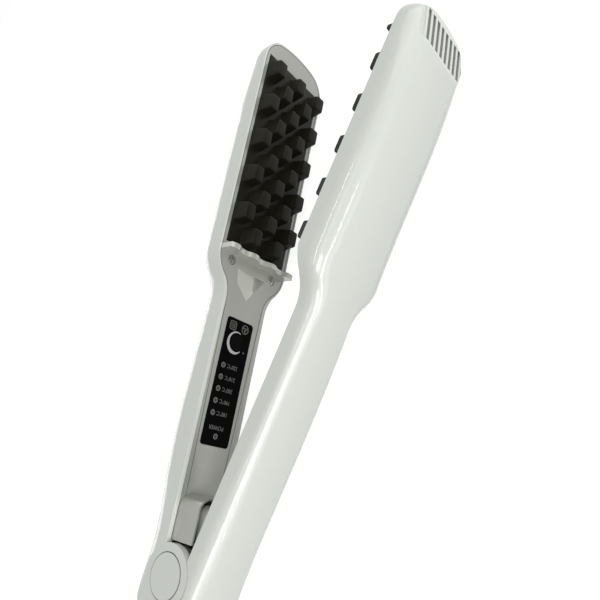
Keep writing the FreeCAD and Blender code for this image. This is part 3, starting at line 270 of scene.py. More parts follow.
def swept_band(arm, path, widths, low, high, closed=False):
    """A thin band laid on the arm along a path of (along, across) points, between two depths. Each
    point is moved half the band's width to both sides, square to the line through its neighbours,
    and the four corners of the band's section follow the path."""
    path = np.asarray(path, float)
    if closed:
        tangent = np.roll(path, -1, axis=0) - np.roll(path, 1, axis=0)
    else:
        tangent = np.gradient(path, axis=0)
    tangent /= np.linalg.norm(tangent, axis=1)[:, None]
    normal = np.stack([-tangent[:, 1], tangent[:, 0]], axis=1)
    half = np.broadcast_to(np.asarray(widths, float) / 2, len(path))[:, None]
    corners = ((1, low), (1, high), (-1, high), (-1, low))
    plan = np.stack([path + normal * half * way for way, _ in corners], axis=1)
    depth = np.stack([np.broadcast_to(level, len(path)) for _, level in corners], axis=1)
    faces = grid_faces(len(path), 4, closed)
    if not closed:
        last = 4 * (len(path) - 1)
        faces += [(3, 2, 1, 0), (last, last + 1, last + 2, last + 3)]
    return arm.place(depth, plan[..., 0], plan[..., 1]).reshape(-1, 3), facing_out(faces, arm is ARM_A)


def circle(along, across, radius, start=0.0, turn=360.0, count=48):
    """Points on an arc about a middle. The angle runs from across towards along: a point lies the radius
    times the angle's sine further along, and the radius times its cosine further across."""
    angle = np.radians(np.linspace(start, start + turn, count, endpoint=turn != 360.0))
    return np.stack([along + radius * np.sin(angle), across + radius * np.cos(angle)], axis=1)


def letters(words, size, depth, along, across, align):
    """Raised letters on the first arm as points and faces. They read from the low side to the high side
    of the arm and stand with their feet towards the tip: up the letters is back along the arm, along
    the line is across it, and their height lifts them from the depth."""
    curve = bpy.data.curves.new(words, "FONT")
    curve.body = words
    curve.size = size
    curve.extrude = PRINT_HEIGHT / 2
    curve.align_x = align
    curve.resolution_u = 3
    maker = bpy.data.objects.new(words, curve)
    bpy.context.scene.collection.objects.link(maker)
    mesh = bpy.data.meshes.new_from_object(maker.evaluated_get(bpy.context.evaluated_depsgraph_get()))
    merged = bmesh.new()
    merged.from_mesh(mesh)
    bmesh.ops.remove_doubles(merged, verts=merged.verts, dist=SAME_PLACE)
    bmesh.ops.recalc_face_normals(merged, faces=merged.faces)
    merged.to_mesh(mesh)
    merged.free()
    flat = mesh_points(mesh)
    faces = [tuple(face.vertices) for face in mesh.polygons]
    bpy.data.objects.remove(maker)
    bpy.data.curves.remove(curve)
    bpy.data.meshes.remove(mesh)
    return ARM_A.place(depth - flat[:, 2], along - flat[:, 1], across + flat[:, 0]), faces


# Nodes


def feed(tree, node, inputs):
    """Links each input, by name or number, where it is given a socket, and sets it where a value."""
    for key, value in inputs.items():
        if isinstance(value, bpy.types.NodeSocket):
            tree.links.new(value, node.inputs[key])
        else:
            node.inputs[key].default_value = value


def add_node(tree, kind, inputs, **settings):
    """A new node of a kind, with its settings made and its inputs fed."""
    node = tree.nodes.new(kind)
    for name, value in settings.items():
        setattr(node, name, value)
    feed(tree, node, inputs)
    return node


def math_node(tree, operation, *values):
    """The output of a Math node of one operation on sockets or numbers."""
    return add_node(tree, "ShaderNodeMath", dict(enumerate(values)), operation=operation).outputs[0]


def product(tree, *factors):
    """All the factors multiplied, one Math node after another."""
    result = factors[0]
    for factor in factors[1:]:
        result = math_node(tree, "MULTIPLY", result, factor)
    return result


def new_group(name, inputs, outputs):
    """A node group with its sockets, each a pair of name and kind, and its input and output nodes."""
    group = bpy.data.node_groups.new(name, "ShaderNodeTree")
    for direction, sockets in (("INPUT", inputs), ("OUTPUT", outputs)):
        for label, kind in sockets:
            group.interface.new_socket(name=label, in_out=direction, socket_type=f"NodeSocket{kind}")
    return group, group.nodes.new("NodeGroupInput"), group.nodes.new("NodeGroupOutput")


def new_material(name, inputs):
    """A node material with its output and one Principled BSDF, whose sockets are given their inputs."""
    material = bpy.data.materials.new(name)
    material.use_nodes = True
    tree = material.node_tree
    tree.nodes.clear()
    shader = add_node(tree, "ShaderNodeBsdfPrincipled", inputs)
    add_node(tree, "ShaderNodeOutputMaterial", {"Surface": shader.outputs["BSDF"]})
    return material, tree, shader


def background_rays(tree):
    """One where a ray shows the background to the camera, straight, in a reflection or through glass:
    the largest of the three rays' marks."""
    path = tree.nodes.new("ShaderNodeLightPath")
    straight = math_node(tree, "MAXIMUM", path.outputs["Is Camera Ray"], path.outputs["Is Glossy Ray"])
    return math_node(tree, "MAXIMUM", straight, path.outputs["Is Transmission Ray"])


def grain_group():
    """Fine moulded grain from two scales of noise on Object coordinates. Their sum minus one swings about
    nought. The tint times that swing, plus one, multiplies the colour and the roughness, and the fine
    noise is the height for a bump."""
    name = "Fine grain"
    if name in bpy.data.node_groups:
        return bpy.data.node_groups[name]
    group, source, sink = new_group(
        name, (("Color", "Color"), ("Tint", "Float"), ("Scale", "Float"), ("Roughness", "Float")),
        (("Color", "Color"), ("Roughness", "Float"), ("Height", "Float")))
    given = source.outputs
    where = group.nodes.new("ShaderNodeTexCoord").outputs["Object"]
    fine = add_node(group, "ShaderNodeTexNoise", {
        "Vector": where, "Scale": given["Scale"], "Detail": FINE_DETAIL}).outputs["Fac"]
    broad = add_node(group, "ShaderNodeTexNoise", {
        "Vector": where, "Scale": BROAD_SCALE, "Detail": BROAD_DETAIL}).outputs["Fac"]
    swing = math_node(group, "SUBTRACT", math_node(group, "ADD", fine, broad), 1.0)
    lift = math_node(group, "ADD", product(group, swing, given["Tint"]), 1.0)
    color = add_node(group, "ShaderNodeVectorMath", {0: given["Color"], "Scale": lift}, operation="SCALE")
    feed(group, sink, {"Color": color.outputs[0], "Roughness": product(group, given["Roughness"], lift),
                       "Height": fine})
    return group


def shade_group():
    """Masks of painted shade and painted light, and a height, from Object coordinates, for the arm whose
    turn and side it is told. The point is taken from the hinge and turned into the arm's own coordinates.

    The mask of painted shade in the vent slots is one between two depths under the nose's back, which
    falls by its slope times the way past its start, within the row of vents, and where the way to the
    nearest rib's middle is over half a rib. The mask of painted shade in the groove is one where the way
    to the hinge axis, the root of depth squared plus along squared, is that of the cap's rim. The mask of
    painted light is one on the collar where it stands over the face, and on the near side of the scoop
    where it lies under it. Crown is minus CROWN times across squared."""
    name = "Arm shade"
    if name in bpy.data.node_groups:
        return bpy.data.node_groups[name]
    group, source, sink = new_group(
        name, (("Turn", "Float"), ("Side", "Float")),
        (("Slots", "Float"), ("Groove", "Float"), ("Relief", "Float"), ("Crown", "Float")))

    # Each gives one where a value is near a middle, over a limit, or under it
    def within(value, middle, half):
        return math_node(group, "COMPARE", value, middle, half)

    def over(value, limit):
        return math_node(group, "GREATER_THAN", value, limit)

    def under(value, limit):
        return math_node(group, "LESS_THAN", value, limit)

    where = group.nodes.new("ShaderNodeTexCoord").outputs["Object"]
    moved = add_node(group, "ShaderNodeVectorMath", {0: where, 1: HINGE}, operation="SUBTRACT")
    turned = add_node(group, "ShaderNodeVectorRotate", {
        "Vector": moved.outputs[0], "Angle": source.outputs["Turn"]}, rotation_type="Z_AXIS")
    split = add_node(group, "ShaderNodeSeparateXYZ", {0: turned.outputs[0]})
    depth = product(group, split.outputs["X"], source.outputs["Side"])
    along, across = split.outputs["Y"], split.outputs["Z"]

    # Painted shade: the shell's colour is darkened inside the vent slots, where the recesses lie in shade
    fall = math_node(group, "MULTIPLY_ADD", along, NOSE_SLOPE, -NOSE_SLOPE * NOSE_START - BACK)
    above = math_node(group, "ADD", depth, fall)
    from_rib = math_node(group, "PINGPONG", across, VENT_PITCH / 2)
    painted_slot_shade = product(group, under(above, -VENT_DEPTHS[0]), over(above, -VENT_DEPTHS[1]),
                    over(from_rib, (VENT_PITCH - VENT_WIDTH) / 2 - VENT_SLACK),
                    within(along, VENT_MIDDLE, VENT_RUN / 2), within(across, 0.0, VENT_HALF))

    # Painted shade: a dark ring where the groove round the hinge cap lies in shade
    squares = math_node(group, "ADD", product(group, depth, depth), product(group, along, along))
    painted_groove_shade = within(math_node(group, "SQRT", squares), CAP_RIM, GROOVE_HALF)

    # Painted light: the collar's top and the near side of the scoop are made lighter, as if lit
    lit_collar = product(group, within(along, COLLAR_MIDDLE, COLLAR_HALF), under(depth, FACE - COLLAR_RISE))
    lit_scoop = product(group, within(along, SCOOP_MIDDLE[0], SCOOP_HALVES[0]), over(depth, FACE + SCOOP_FALL),
                    within(across, SCOOP_MIDDLE[1], SCOOP_HALVES[1]))

    feed(group, sink, {"Slots": painted_slot_shade, "Groove": painted_groove_shade, "Relief": math_node(group, "MAXIMUM", lit_collar, lit_scoop),
                       "Crown": product(group, across, across, -CROWN)})
    return group


# Finishes. A colour is written out, or it is the name of one in the settings.
PEARL = dict(color="shell", roughness=0.27, tint=0.02, coat=0.9, coat_roughness=0.08, bump=0.01)
COVER = dict(color="cover", roughness=0.30, scale=2500.0, metallic=0.25, bump=0.03, coat=0.5,
             coat_roughness=0.05)
FINISHES = {
    "pearl shell a": PEARL,
    "pearl shell b": PEARL,
    "pearl cap": PEARL,
    # The first arm's cover: the same finish as the plain cover, with painted light on its collar and scoop
    "silver cover": COVER,
    "plain cover": COVER,
    "dark plate": dict(color="plate", roughness=0.30, tint=0.15, scale=1800.0, bump=0.05, specular=0.10),
    "strip gloss": dict(color=(0.0016, 0.0016, 0.0020), roughness=0.20, tint=0.1, bump=0.003, specular=0.02),
    "button gloss": dict(color=(0.0022, 0.0022, 0.0026), roughness=0.26, tint=0.1, bump=0.01, specular=0.03),
    "bright print": dict(color=(0.52, 0.53, 0.52), roughness=0.5, tint=0.1),
    "dim print": dict(color=(0.150, 0.150, 0.146), roughness=0.5, tint=0.1),
    "lamp": dict(color=(0.02, 0.02, 0.02), roughness=0.12, tint=0.1),
    "screw steel": dict(color=(0.36, 0.35, 0.32), roughness=0.24, tint=0.2, scale=3000.0, metallic=1.0,
                        bump=0.08),
    "black plastic": dict(color=(0.02, 0.02, 0.02), roughness=0.5, tint=0.2, bump=0.1),
    "heater": dict(color=(0.35, 0.33, 0.30), roughness=0.6, tint=0.3, bump=0.1),
    "board": dict(color=(0.02, 0.12, 0.05), roughness=0.4, tint=0.2),
    "soft rubber": dict(color=(0.03, 0.03, 0.03), roughness=0.6, tint=0.2, bump=0.15),
    "seam shadow": dict(color=(0.14, 0.14, 0.13), roughness=0.8, tint=0.1),
}

# Finishes with the arm's masks in them: the arm, what each mask multiplies the colour by, and whether the
# crown bends the normal. The masks paint shade into the vent slots and the groove round the hinge cap,
# and paint light on the first cover's collar and scoop.
SHADES = {
    "pearl shell a": (ARM_A, {"Slots": 0.44, "Groove": 0.44}, True),
    "pearl shell b": (ARM_B, {"Slots": 0.44, "Groove": 0.44}, True),
    "pearl cap": (ARM_A, {"Groove": 0.44}, False),
    "silver cover": (ARM_A, {"Relief": 1.5}, False),
}

# The finish of each CAD node whose name starts so; the first that fits counts
NODE_FINISHES = (
    ("shell_a", "pearl shell a"), ("shell_b", "pearl shell b"), ("cover_screw", "screw steel"),
    ("cover_b", "plain cover"), ("cover_a", "silver cover"), ("plate_frame", "black plastic"),
    ("plate", "dark plate"), ("heater_clip", "screw steel"), ("heater", "heater"), ("thermistor", "heater"),
    ("thermal_fuse", "screw steel"), ("label_panel", "strip gloss"), ("light_guide", "lamp"),
    ("circuit_board", "board"), ("tact_switch", "black plastic"), ("power_module", "black plastic"),
    ("hinge_pin", "screw steel"), ("hinge_cap", "pearl cap"), ("hinge_barrel", "black plastic"),
    ("opening_spring", "screw steel"), ("hinge_block", "plain cover"), ("mode_button", "button gloss"),
    ("cord_gland", "soft rubber"),
)

# The sockets of a Mix node that are colours
MIX_FIRST, MIX_SECOND, MIX_RESULT = 6, 7, 2


def finish_material(name, color, roughness, tint=0.05, scale=900.0, bump=0.02, metallic=0.0, coat=0.0,
                    coat_roughness=0.1, specular=0.5):
    """A moulded, painted or metal finish with fine grain in its colour, roughness and normal."""
    material, tree, shader = new_material(name, {
        "Metallic": metallic, "Coat Weight": coat, "Coat Roughness": coat_roughness,
        "Specular IOR Level": specular})
    grain = add_node(tree, "ShaderNodeGroup", {
        "Color": (*color, 1.0), "Tint": tint, "Scale": scale, "Roughness": roughness},
        node_tree=grain_group())
    bumped = add_node(tree, "ShaderNodeBump", {
        "Strength": bump, "Distance": GRAIN_HEIGHT, "Height": grain.outputs["Height"]})
    feed(tree, shader, {"Base Color": grain.outputs["Color"], "Roughness": grain.outputs["Roughness"],
                        "Normal": bumped.outputs["Normal"]})
    return material


def shade_material(material, color, arm, factors, crowned):
    """Multiplies a finished material's colour where the arm's masks say, one mask after another: a factor
    under one paints shade there, and a factor over one paints light. It also bends its normal by the
    crown before the grain does."""
    tree = material.node_tree
    grain = next(node for node in tree.nodes if node.type == "GROUP")
    bumped = next(node for node in tree.nodes if node.type == "BUMP")
    shade = add_node(tree, "ShaderNodeGroup", {"Turn": arm.side * HALF_OPEN, "Side": arm.side},
                     node_tree=shade_group())
    mixed = (*color, 1.0)
    for mask, factor in factors.items():
        shaded = (*[factor * part for part in color], 1.0)
        mixed = add_node(tree, "ShaderNodeMix", {"Factor": shade.outputs[mask], MIX_FIRST: mixed,
                                                 MIX_SECOND: shaded}, data_type="RGBA").outputs[MIX_RESULT]
    feed(tree, grain, {"Color": mixed})
    if crowned:
        crown = add_node(tree, "ShaderNodeBump", {
            "Strength": 1.0, "Distance": 1.0, "Height": shade.outputs["Crown"]})
        feed(tree, bumped, {"Normal": crown.outputs["Normal"]})


def finish_of(name):
    """The named finish, made when it is first asked for."""
    if name in bpy.data.materials:
        return bpy.data.materials[name]
    values = dict(FINISHES[name])
    if isinstance(values["color"], str):
        values["color"] = getattr(bpy.context.scene.crimper_finishes, values["color"])
    material = finish_material(name, **values)
    if name in SHADES:
        shade_material(material, values["color"], *SHADES[name])
    return material


# Sizes and colours that a user would change


class CrimperCamera(bpy.types.PropertyGroup):
    """Where the photograph was taken from."""
    spot: bpy.props.FloatVectorProperty(
        name="Place", description="Place of the camera", default=(0.17604, -0.04136, 0.19751),
        subtype="TRANSLATION", unit="LENGTH")
    turn: bpy.props.FloatVectorProperty(
        name="Turn", description="Turn of the camera", subtype="EULER",
        default=tuple(math.radians(angle) for angle in (24.977, 37.751, 21.319)))
    lens: bpy.props.FloatProperty(name="Lens", description="Focal length in millimetres", default=34.92)


class CrimperLight(bpy.types.PropertyGroup):
    """How bright the studio is."""
    key: bpy.props.FloatProperty(
        name="Key", description="Power of the large soft lamp", default=4.2, unit="POWER")
    top: bpy.props.FloatProperty(
        name="Top", description="Power of the lamp overhead", default=1.0, unit="POWER")
    low: bpy.props.FloatProperty(
        name="Low", description="Power of the lamp low at the front", default=1.6, unit="POWER")
    tip: bpy.props.FloatProperty(
        name="Tip", description="Power of the lamp beyond the tips", default=1.7, unit="POWER")
    back: bpy.props.FloatProperty(
        name="Back", description="Power of the lamp behind the tool", default=1.8, unit="POWER")
    sky: bpy.props.FloatProperty(name="Sky", description="Strength of the even light", default=0.22)
    floor_glow: bpy.props.FloatProperty(
        name="Floor glow", description="White of the floor as the camera and reflections see it",
        default=0.84)
    floor: bpy.props.FloatVectorProperty(
        name="Floor", description="Colour of the floor", default=(0.45, 0.45, 0.45), subtype="COLOR")


class CrimperFinishes(bpy.types.PropertyGroup):
    """The main colours."""
    shell: bpy.props.FloatVectorProperty(
        name="Shell", description="Pearl grey of the shells", default=(0.60, 0.63, 0.58), subtype="COLOR")
    cover: bpy.props.FloatVectorProperty(
        name="Cover", description="Silver grey of the inner covers", default=(0.38, 0.39, 0.35),
        subtype="COLOR")
    plate: bpy.props.FloatVectorProperty(
        name="Plate", description="Dark coat of the plates", default=(0.015, 0.014, 0.009), subtype="COLOR")


class CrimperStuds(bpy.types.PropertyGroup):
    """The studs of the plates."""
    base_width: bpy.props.FloatProperty(
        name="Base width", description="Across the arm", default=7.3 * MM, unit="LENGTH")
    base_length: bpy.props.FloatProperty(
        name="Base length", description="Along the arm", default=9.3 * MM, unit="LENGTH")
    top_width: bpy.props.FloatProperty(
        name="Top width", description="Across the arm", default=5.5 * MM, unit="LENGTH")
    top_length: bpy.props.FloatProperty(
        name="Top length", description="Along the arm", default=7.5 * MM, unit="LENGTH")
    pitch_across: bpy.props.FloatProperty(
        name="Pitch across", description="Between neighbouring columns", default=7.55 * MM, unit="LENGTH")
    pitch_along: bpy.props.FloatProperty(
        name="Pitch along", description="Between neighbouring rows", default=9.6 * MM, unit="LENGTH")
    first: bpy.props.FloatProperty(
        name="First row", description="From the hinge to the row nearest the tip", default=229.7 * MM,
        unit="LENGTH")


class CrimperStrip(bpy.types.PropertyGroup):
    """Where the marks of the control strip are printed."""
    first_lamp: bpy.props.FloatProperty(
        name="First lamp", description="From the hinge to the hottest lamp", default=84.6 * MM, unit="LENGTH")
    lamp_pitch: bpy.props.FloatProperty(
        name="Lamp pitch", description="Between neighbouring lamps", default=5.18 * MM, unit="LENGTH")
    lamp_across: bpy.props.FloatProperty(
        name="Lamps across", description="Across the arm", default=4.8 * MM, unit="LENGTH")
    power_lamp: bpy.props.FloatProperty(
        name="Power lamp", description="From the hinge to the power lamp", default=54.3 * MM, unit="LENGTH")
    power_across: bpy.props.FloatProperty(
        name="Power lamp across", description="Across the arm", default=0.3 * MM, unit="LENGTH")
    ring_radius: bpy.props.FloatProperty(
        name="Ring radius", description="Middle of a lamp's ring", default=1.02 * MM, unit="LENGTH")
    ring_width: bpy.props.FloatProperty(
        name="Ring width", description="Width of a lamp's ring", default=0.42 * MM, unit="LENGTH")
    letter: bpy.props.FloatProperty(
        name="Letter", description="Size of the letters", default=2.5 * MM, unit="LENGTH")
    button_along: bpy.props.FloatProperty(
        name="Button", description="From the hinge to the button", default=95.8 * MM, unit="LENGTH")
    button_across: bpy.props.FloatProperty(
        name="Button across", description="Across the arm", default=0.4 * MM, unit="LENGTH")
    arc_radius: bpy.props.FloatProperty(
        name="Arc radius", description="Middle of the arc round the button", default=4.7 * MM, unit="LENGTH")


# Operators


class CRIMPER_OT_stage(bpy.types.Operator):
    """Adds the floor, the lamps and the camera"""
    bl_idname = "crimper.stage"
    bl_label = "Stage"

    def execute(self, context):
        scene = context.scene
        scene.view_settings.view_transform = "Standard"
        self.add_camera(scene)
        self.add_floor(scene)
        self.add_lamps(scene)
        self.add_sky(scene)
        return {"FINISHED"}

    def add_camera(self, scene):
        """The camera that took the photograph."""
        data = bpy.data.cameras.new("Camera")
        data.lens = scene.crimper_camera.lens
        data.sensor_width = SENSOR_WIDTH
        data.clip_start = NEAREST
        camera = bpy.data.objects.new("Camera", data)
        camera.location = Vector(scene.crimper_camera.spot)
        camera.rotation_euler = Euler(scene.crimper_camera.turn)
        scene.collection.objects.link(camera)
        scene.camera = camera

    def add_floor(self, scene):
        """A square floor that takes the shadow and glows only where it is seen as background."""
        light, half = scene.crimper_light, FLOOR_HALF
        mesh = bpy.data.meshes.new("floor")
        mesh.from_pydata([(-half, -half, 0), (half, -half, 0), (half, half, 0), (-half, half, 0)], [],
                         [(0, 1, 2, 3)])
        floor = bpy.data.objects.new("floor", mesh)
        scene.collection.objects.link(floor)
        material, tree, shader = new_material("floor", {
            "Base Color": (*light.floor, 1.0), "Roughness": 0.9, "Specular IOR Level": 0.0,
            "Emission Color": (*[light.floor_glow] * 3, 1.0)})
        feed(tree, shader, {"Emission Strength": background_rays(tree)})
        mesh.materials.append(material)

    def add_lamps(self, scene):
        """Flat lamps, each turned so that it shines at one spot over the floor's middle."""
        for name, spot, size in LAMPS:
            data = bpy.data.lights.new(name, "AREA")
            data.energy = getattr(scene.crimper_light, name)
            data.shape = "RECTANGLE"
            data.size, data.size_y = size
            lamp = bpy.data.objects.new(name, data)
            lamp.location = spot
            lamp.rotation_euler = (LAMP_AIM - lamp.location).to_track_quat("-Z", "Y").to_euler()
            scene.collection.objects.link(lamp)

    def add_sky(self, scene):
        """An even light that is white where it is seen as background."""
        world = bpy.data.worlds.new("studio")
        world.use_nodes = True
        tree = world.node_tree
        ground = tree.nodes["Background"]
        feed(tree, ground, {"Color": (1, 1, 1, 1), "Strength": scene.crimper_light.sky})
        white = add_node(tree, "ShaderNodeBackground", {"Color": (1, 1, 1, 1)})
        mixed = add_node(tree, "ShaderNodeMixShader", {
            "Fac": background_rays(tree), 1: ground.outputs[0], 2: white.outputs[0]})
        feed(tree, tree.nodes["World Output"], {"Surface": mixed.outputs[0]})
        scene.world = world


class CRIMPER_OT_finishes(bpy.types.Operator):
    """Gives each CAD node its finish"""
    bl_idname = "crimper.finishes"
    bl_label = "Finishes"

    def execute(self, context):
        for name, node in frame["nodes"].items():
            finish = next(finish for start, finish in NODE_FINISHES if name.startswith(start))
            node.data.materials.clear()
            node.data.materials.append(finish_of(finish))
        return {"FINISHED"}


class CRIMPER_OT_plates(bpy.types.Operator):
    """Makes the two studded plates"""
    bl_idname = "crimper.plates"
    bl_label = "Studded plates"

    def execute(self, context):
        studs = context.scene.crimper_studs
        for arm in (ARM_A, ARM_B):
            node = f"plate_{arm.letter}"
            low, high = arm.box(node)
            parts = [self.slab(arm, low, high)]
            for along, across, base, top in self.places(arm, studs):
                parts.append(self.stud(arm, studs, low[0], along, across, base, top))
            points, faces = join_parts(parts)
            plate = new_piece(f"studded_plate_{arm.letter}", points, faces, finish_of("dark plate"), arm.body)
            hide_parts(node)
        return {"FINISHED"}

    def slab(self, arm, low, high):
        """The flat base: a rounded rectangle with a small round edge at its face."""
        face = high[0] - SLAB_THICKNESS
        half_length = (high[1] - low[1]) / 2
        half_width = (high[2] - low[2]) / 2
        rings = [(high[0], half_length, half_width)]
        for deeper, inset in quarter_round(SLAB_EDGE, 4):
            rings.append((face + deeper, half_length - inset, half_width - inset))
        centre = ((high[1] + low[1]) / 2, (high[2] + low[2]) / 2)
        return ring_solid(arm, rings, columns=96, power=SLAB_POWER, centre=centre)

    def places(self, arm, studs):
        """Where the studs stand, as along, across and their lengths at the base and at the top. Rows and
        columns lie at whole pitches, and every second place is left free for the other arm's studs. The
        second arm has a short stud more at the tip of the columns that start a row late."""
        for column in range(STUD_COLUMNS):
            across = studs.pitch_across * (column - STUD_COLUMNS // 2)
            late = (column % 2 == 1) == (arm is ARM_A)
            for row in range(int(late), 2 * STUDS_IN_COLUMN, 2):
                yield studs.first - studs.pitch_along * row, across, studs.base_length, studs.top_length
            if arm is ARM_B and late:
                yield TIP_STUD[0], across, *TIP_STUD[1:]

    def stud(self, arm, studs, tip, along, across, base, top):
        """A tapered stud: rounded rectangles that shrink from a flared foot, sunk into the slab, to a
        shoulder of a quarter round, then to a flat top."""
        rings = [(PLATE_FACE + deeper, base / 2 + wider, studs.base_width / 2 + wider)
                 for deeper, wider in STUD_FOOT]
        for deeper, inset in quarter_round(STUD_EDGE, 5):
            rings.append((tip + deeper, top / 2 - inset, studs.top_width / 2 - inset))
        return ring_solid(arm, rings, columns=32, power=STUD_POWER, centre=(along, across))


class CRIMPER_OT_seams(bpy.types.Operator):
    """Lays a thin shadow line in the seam round each cover"""
    bl_idname = "crimper.seams"
    bl_label = "Seams"

    def execute(self, context):
        for arm, ends in ((ARM_A, (FACE, FACE)), (ARM_B, (LOW_FACE_B, FACE))):
            path, face = self.rim(arm, ends)
            points, faces = swept_band(arm, path, SEAM_WIDTH, face + SEAM_DEPTHS[0], face + SEAM_DEPTHS[1])
            new_piece(f"seam_{arm.letter}", points, faces, finish_of("seam shadow"), arm.body)
        return {"FINISHED"}

    def rim(self, arm, ends):
        """The upper edge of a cover's outer wall, up one side of the arm and down the other, with its
        depth. The wall's triangles have normals nearly square to the depth that point away from the arm's
        middle. The edge is where they reach the face, whose depth runs straight between two levels over
        the second arm's step, and outside the outline less some slack. Its points are read off again at
        even steps of a millimetre of the way along them, the running sum of their distances."""
        mesh = frame["nodes"][f"cover_{arm.letter}"].data
        corners = np.zeros(len(mesh.polygons) * 3, int)
        mesh.polygons.foreach_get("vertices", corners)
        triangles = arm.own(mesh_points(mesh))[corners.reshape(-1, 3)]
        normal = np.cross(triangles[:, 1] - triangles[:, 0], triangles[:, 2] - triangles[:, 0]) * arm.side
        normal /= np.maximum(np.linalg.norm(normal, axis=1), TINY)[:, None]
        outwards = (np.abs(normal[:, 0]) < WALL_LEAN) & (normal[:, 2] * triangles[:, :, 2].mean(axis=1) > 0)
        wall = triangles[outwards].reshape(-1, 3)
        at_face = np.abs(wall[:, 0] - np.interp(wall[:, 1], FACE_STEP, ends)) < EDGE_SLACK
        outline = np.interp(wall[:, 1], SHOULDER, COVER_HALVES) - OUTLINE_SLACK
        outside = (np.abs(wall[:, 2]) > outline) | (wall[:, 1] > TIP_ROUND)
        edge = np.unique(np.round(wall[at_face & outside][:, 1:], EDGE_DECIMALS), axis=0)
        rough = np.concatenate([edge[edge[:, 1] > 0], edge[edge[:, 1] < 0][::-1]])
        way = np.concatenate([[0], np.cumsum(np.linalg.norm(np.diff(rough, axis=0), axis=1))])
        even = np.linspace(0, way[-1], int(way[-1] / MM))
        path = np.stack([np.interp(even, way, rough[:, 0]), np.interp(even, way, rough[:, 1])], axis=1)
        return path, np.interp(path[:, 0], FACE_STEP, ends)


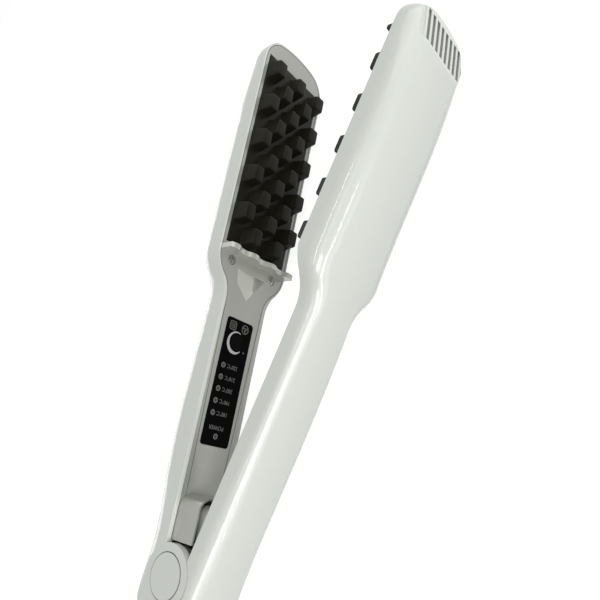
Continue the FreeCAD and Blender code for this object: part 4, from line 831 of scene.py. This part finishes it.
class CRIMPER_OT_print(bpy.types.Operator):
    """Prints the marks of the control strip: lamp rings, temperatures, symbols and an arc"""
    bl_idname = "crimper.print"
    bl_label = "Strip print"

    def execute(self, context):
        strip = context.scene.crimper_strip
        self.face = ARM_A.box("label_panel")[0][0]
        lamps = [strip.first_lamp - strip.lamp_pitch * index for index in range(len(TEMPERATURES))]
        rings = [(along, strip.lamp_across) for along in lamps] + [(strip.power_lamp, strip.power_across)]
        words = [(f"{number}\u00b0C", along + strip.letter * FIGURES_FEET, FIGURES_ACROSS, "RIGHT")
                 for number, along in zip(TEMPERATURES, lamps)]
        words.append(("POWER", strip.power_lamp + POWER_FEET, POWER_ACROSS, "CENTER"))
        words.append(("+", *PLUS_PLACE, "CENTER"))
        self.add("lamp_rings", [self.band(circle(along, across, strip.ring_radius, count=32),
                                          strip.ring_width, True) for along, across in rings])
        self.add("strip_letters", [letters(word, strip.letter, self.face, along, across, align)
                                   for word, along, across, align in words])
        self.add("strip_symbols", self.wave_symbol() + self.turn_symbol())
        self.add("button_arc", [self.button_arc(strip)], "bright print")
        return {"FINISHED"}

    def add(self, name, parts, finish="dim print"):
        """One flat-shaded piece of all the parts, riding on the first arm."""
        points, faces = join_parts(parts)
        new_piece(name, points, faces, finish_of(finish), ARM_A.body, smooth=False)

    def band(self, path, widths, closed=False):
        """A printed line on the face of the strip."""
        return swept_band(ARM_A, path, widths, self.face - PRINT_HEIGHT, self.face - PRINT_GAP, closed)

    def button_arc(self, strip):
        """The arc round the button. Its line swells by the sine of pi times a power of the way along it,
        so most of all past the middle."""
        way = np.linspace(0, 1, 60)
        widths = ARC_WIDTH + ARC_SWELL * np.sin(math.pi * way ** ARC_LEAN)
        return self.band(circle(strip.button_along, strip.button_across, strip.arc_radius, ARC_START,
                                ARC_TURN, len(way)), widths)

    def wave_symbol(self):
        """A rounded square with three waves. The square is a circle whose points are divided by the
        6-norm of the angle's sine and cosine. The waves lie half of its half size apart and run 0.68 of
        that to both sides, and each one's place across is its line's plus a swing times the sine of the
        way along."""
        along, across, half = WAVE_SYMBOL
        angle = np.radians(np.linspace(0, 360, 48, endpoint=False))
        cos, sin = np.cos(angle), np.sin(angle)
        norm = (np.abs(cos) ** 6 + np.abs(sin) ** 6) ** (1 / 6)
        square = np.stack([along + half * sin / norm, across + half * cos / norm], axis=1)
        parts = [self.band(square, SYMBOL_LINE, True)]
        way = np.linspace(-0.68, 0.68, 20)
        for shift in (-0.5, 0.0, 0.5):
            wave = across + half * shift + WAVE_SWING * np.sin(way * WAVE_TURNS)
            parts.append(self.band(np.stack([along + half * way, wave], axis=1), SYMBOL_LINE * 0.8))
        return parts

    def turn_symbol(self):
        """A ring with three bent blades a third of a turn apart: arcs of 200 degrees with 0.36 of the
        ring's radius, whose middles stand 0.38 of that radius from the ring's."""
        along, across, radius = TURN_SYMBOL
        parts = [self.band(circle(along, across, radius), SYMBOL_LINE, True)]
        for turn in (0, 120, 240):
            middle = math.radians(turn)
            blade_along = along + radius * 0.38 * math.sin(middle)
            blade_across = across + radius * 0.38 * math.cos(middle)
            blade = circle(blade_along, blade_across, radius * 0.36, turn + 20, 200, 16)
            parts.append(self.band(blade, SYMBOL_LINE * 1.3))
        return parts


class CRIMPER_PT_panel(bpy.types.Panel):
    """Lists the steps that dress the crimper, and the settings"""
    bl_idname = "CRIMPER_PT_panel"
    bl_label = "Hair crimper"
    bl_space_type = "VIEW_3D"
    bl_region_type = "UI"
    bl_category = "Crimper"

    def draw(self, context):
        for operator in OPERATORS:
            self.layout.operator(operator.bl_idname)
        for name in SETTINGS:
            settings = getattr(context.scene, name)
            for prop in settings.__annotations__:
                self.layout.prop(settings, prop)


SETTINGS = {
    "crimper_camera": CrimperCamera,
    "crimper_light": CrimperLight,
    "crimper_finishes": CrimperFinishes,
    "crimper_studs": CrimperStuds,
    "crimper_strip": CrimperStrip,
}
OPERATORS = (CRIMPER_OT_stage, CRIMPER_OT_finishes, CRIMPER_OT_plates, CRIMPER_OT_seams, CRIMPER_OT_print)


def register():
    """Registers the settings, the operators and the panel."""
    for name, group in SETTINGS.items():
        bpy.utils.register_class(group)
        setattr(bpy.types.Scene, name, bpy.props.PointerProperty(type=group))
    for item in (*OPERATORS, CRIMPER_PT_panel):
        bpy.utils.register_class(item)


def unregister():
    """Takes them out again, the last first."""
    for item in (CRIMPER_PT_panel, *reversed(OPERATORS)):
        bpy.utils.unregister_class(item)
    for name, group in SETTINGS.items():
        delattr(bpy.types.Scene, name)
        bpy.utils.unregister_class(group)


def main():
    """Registers the add-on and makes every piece."""
    register()
    bpy.ops.crimper.stage()
    bpy.ops.crimper.finishes()
    bpy.ops.crimper.plates()
    bpy.ops.crimper.seams()
    bpy.ops.crimper.print()


if __name__ == "__main__":
    main()
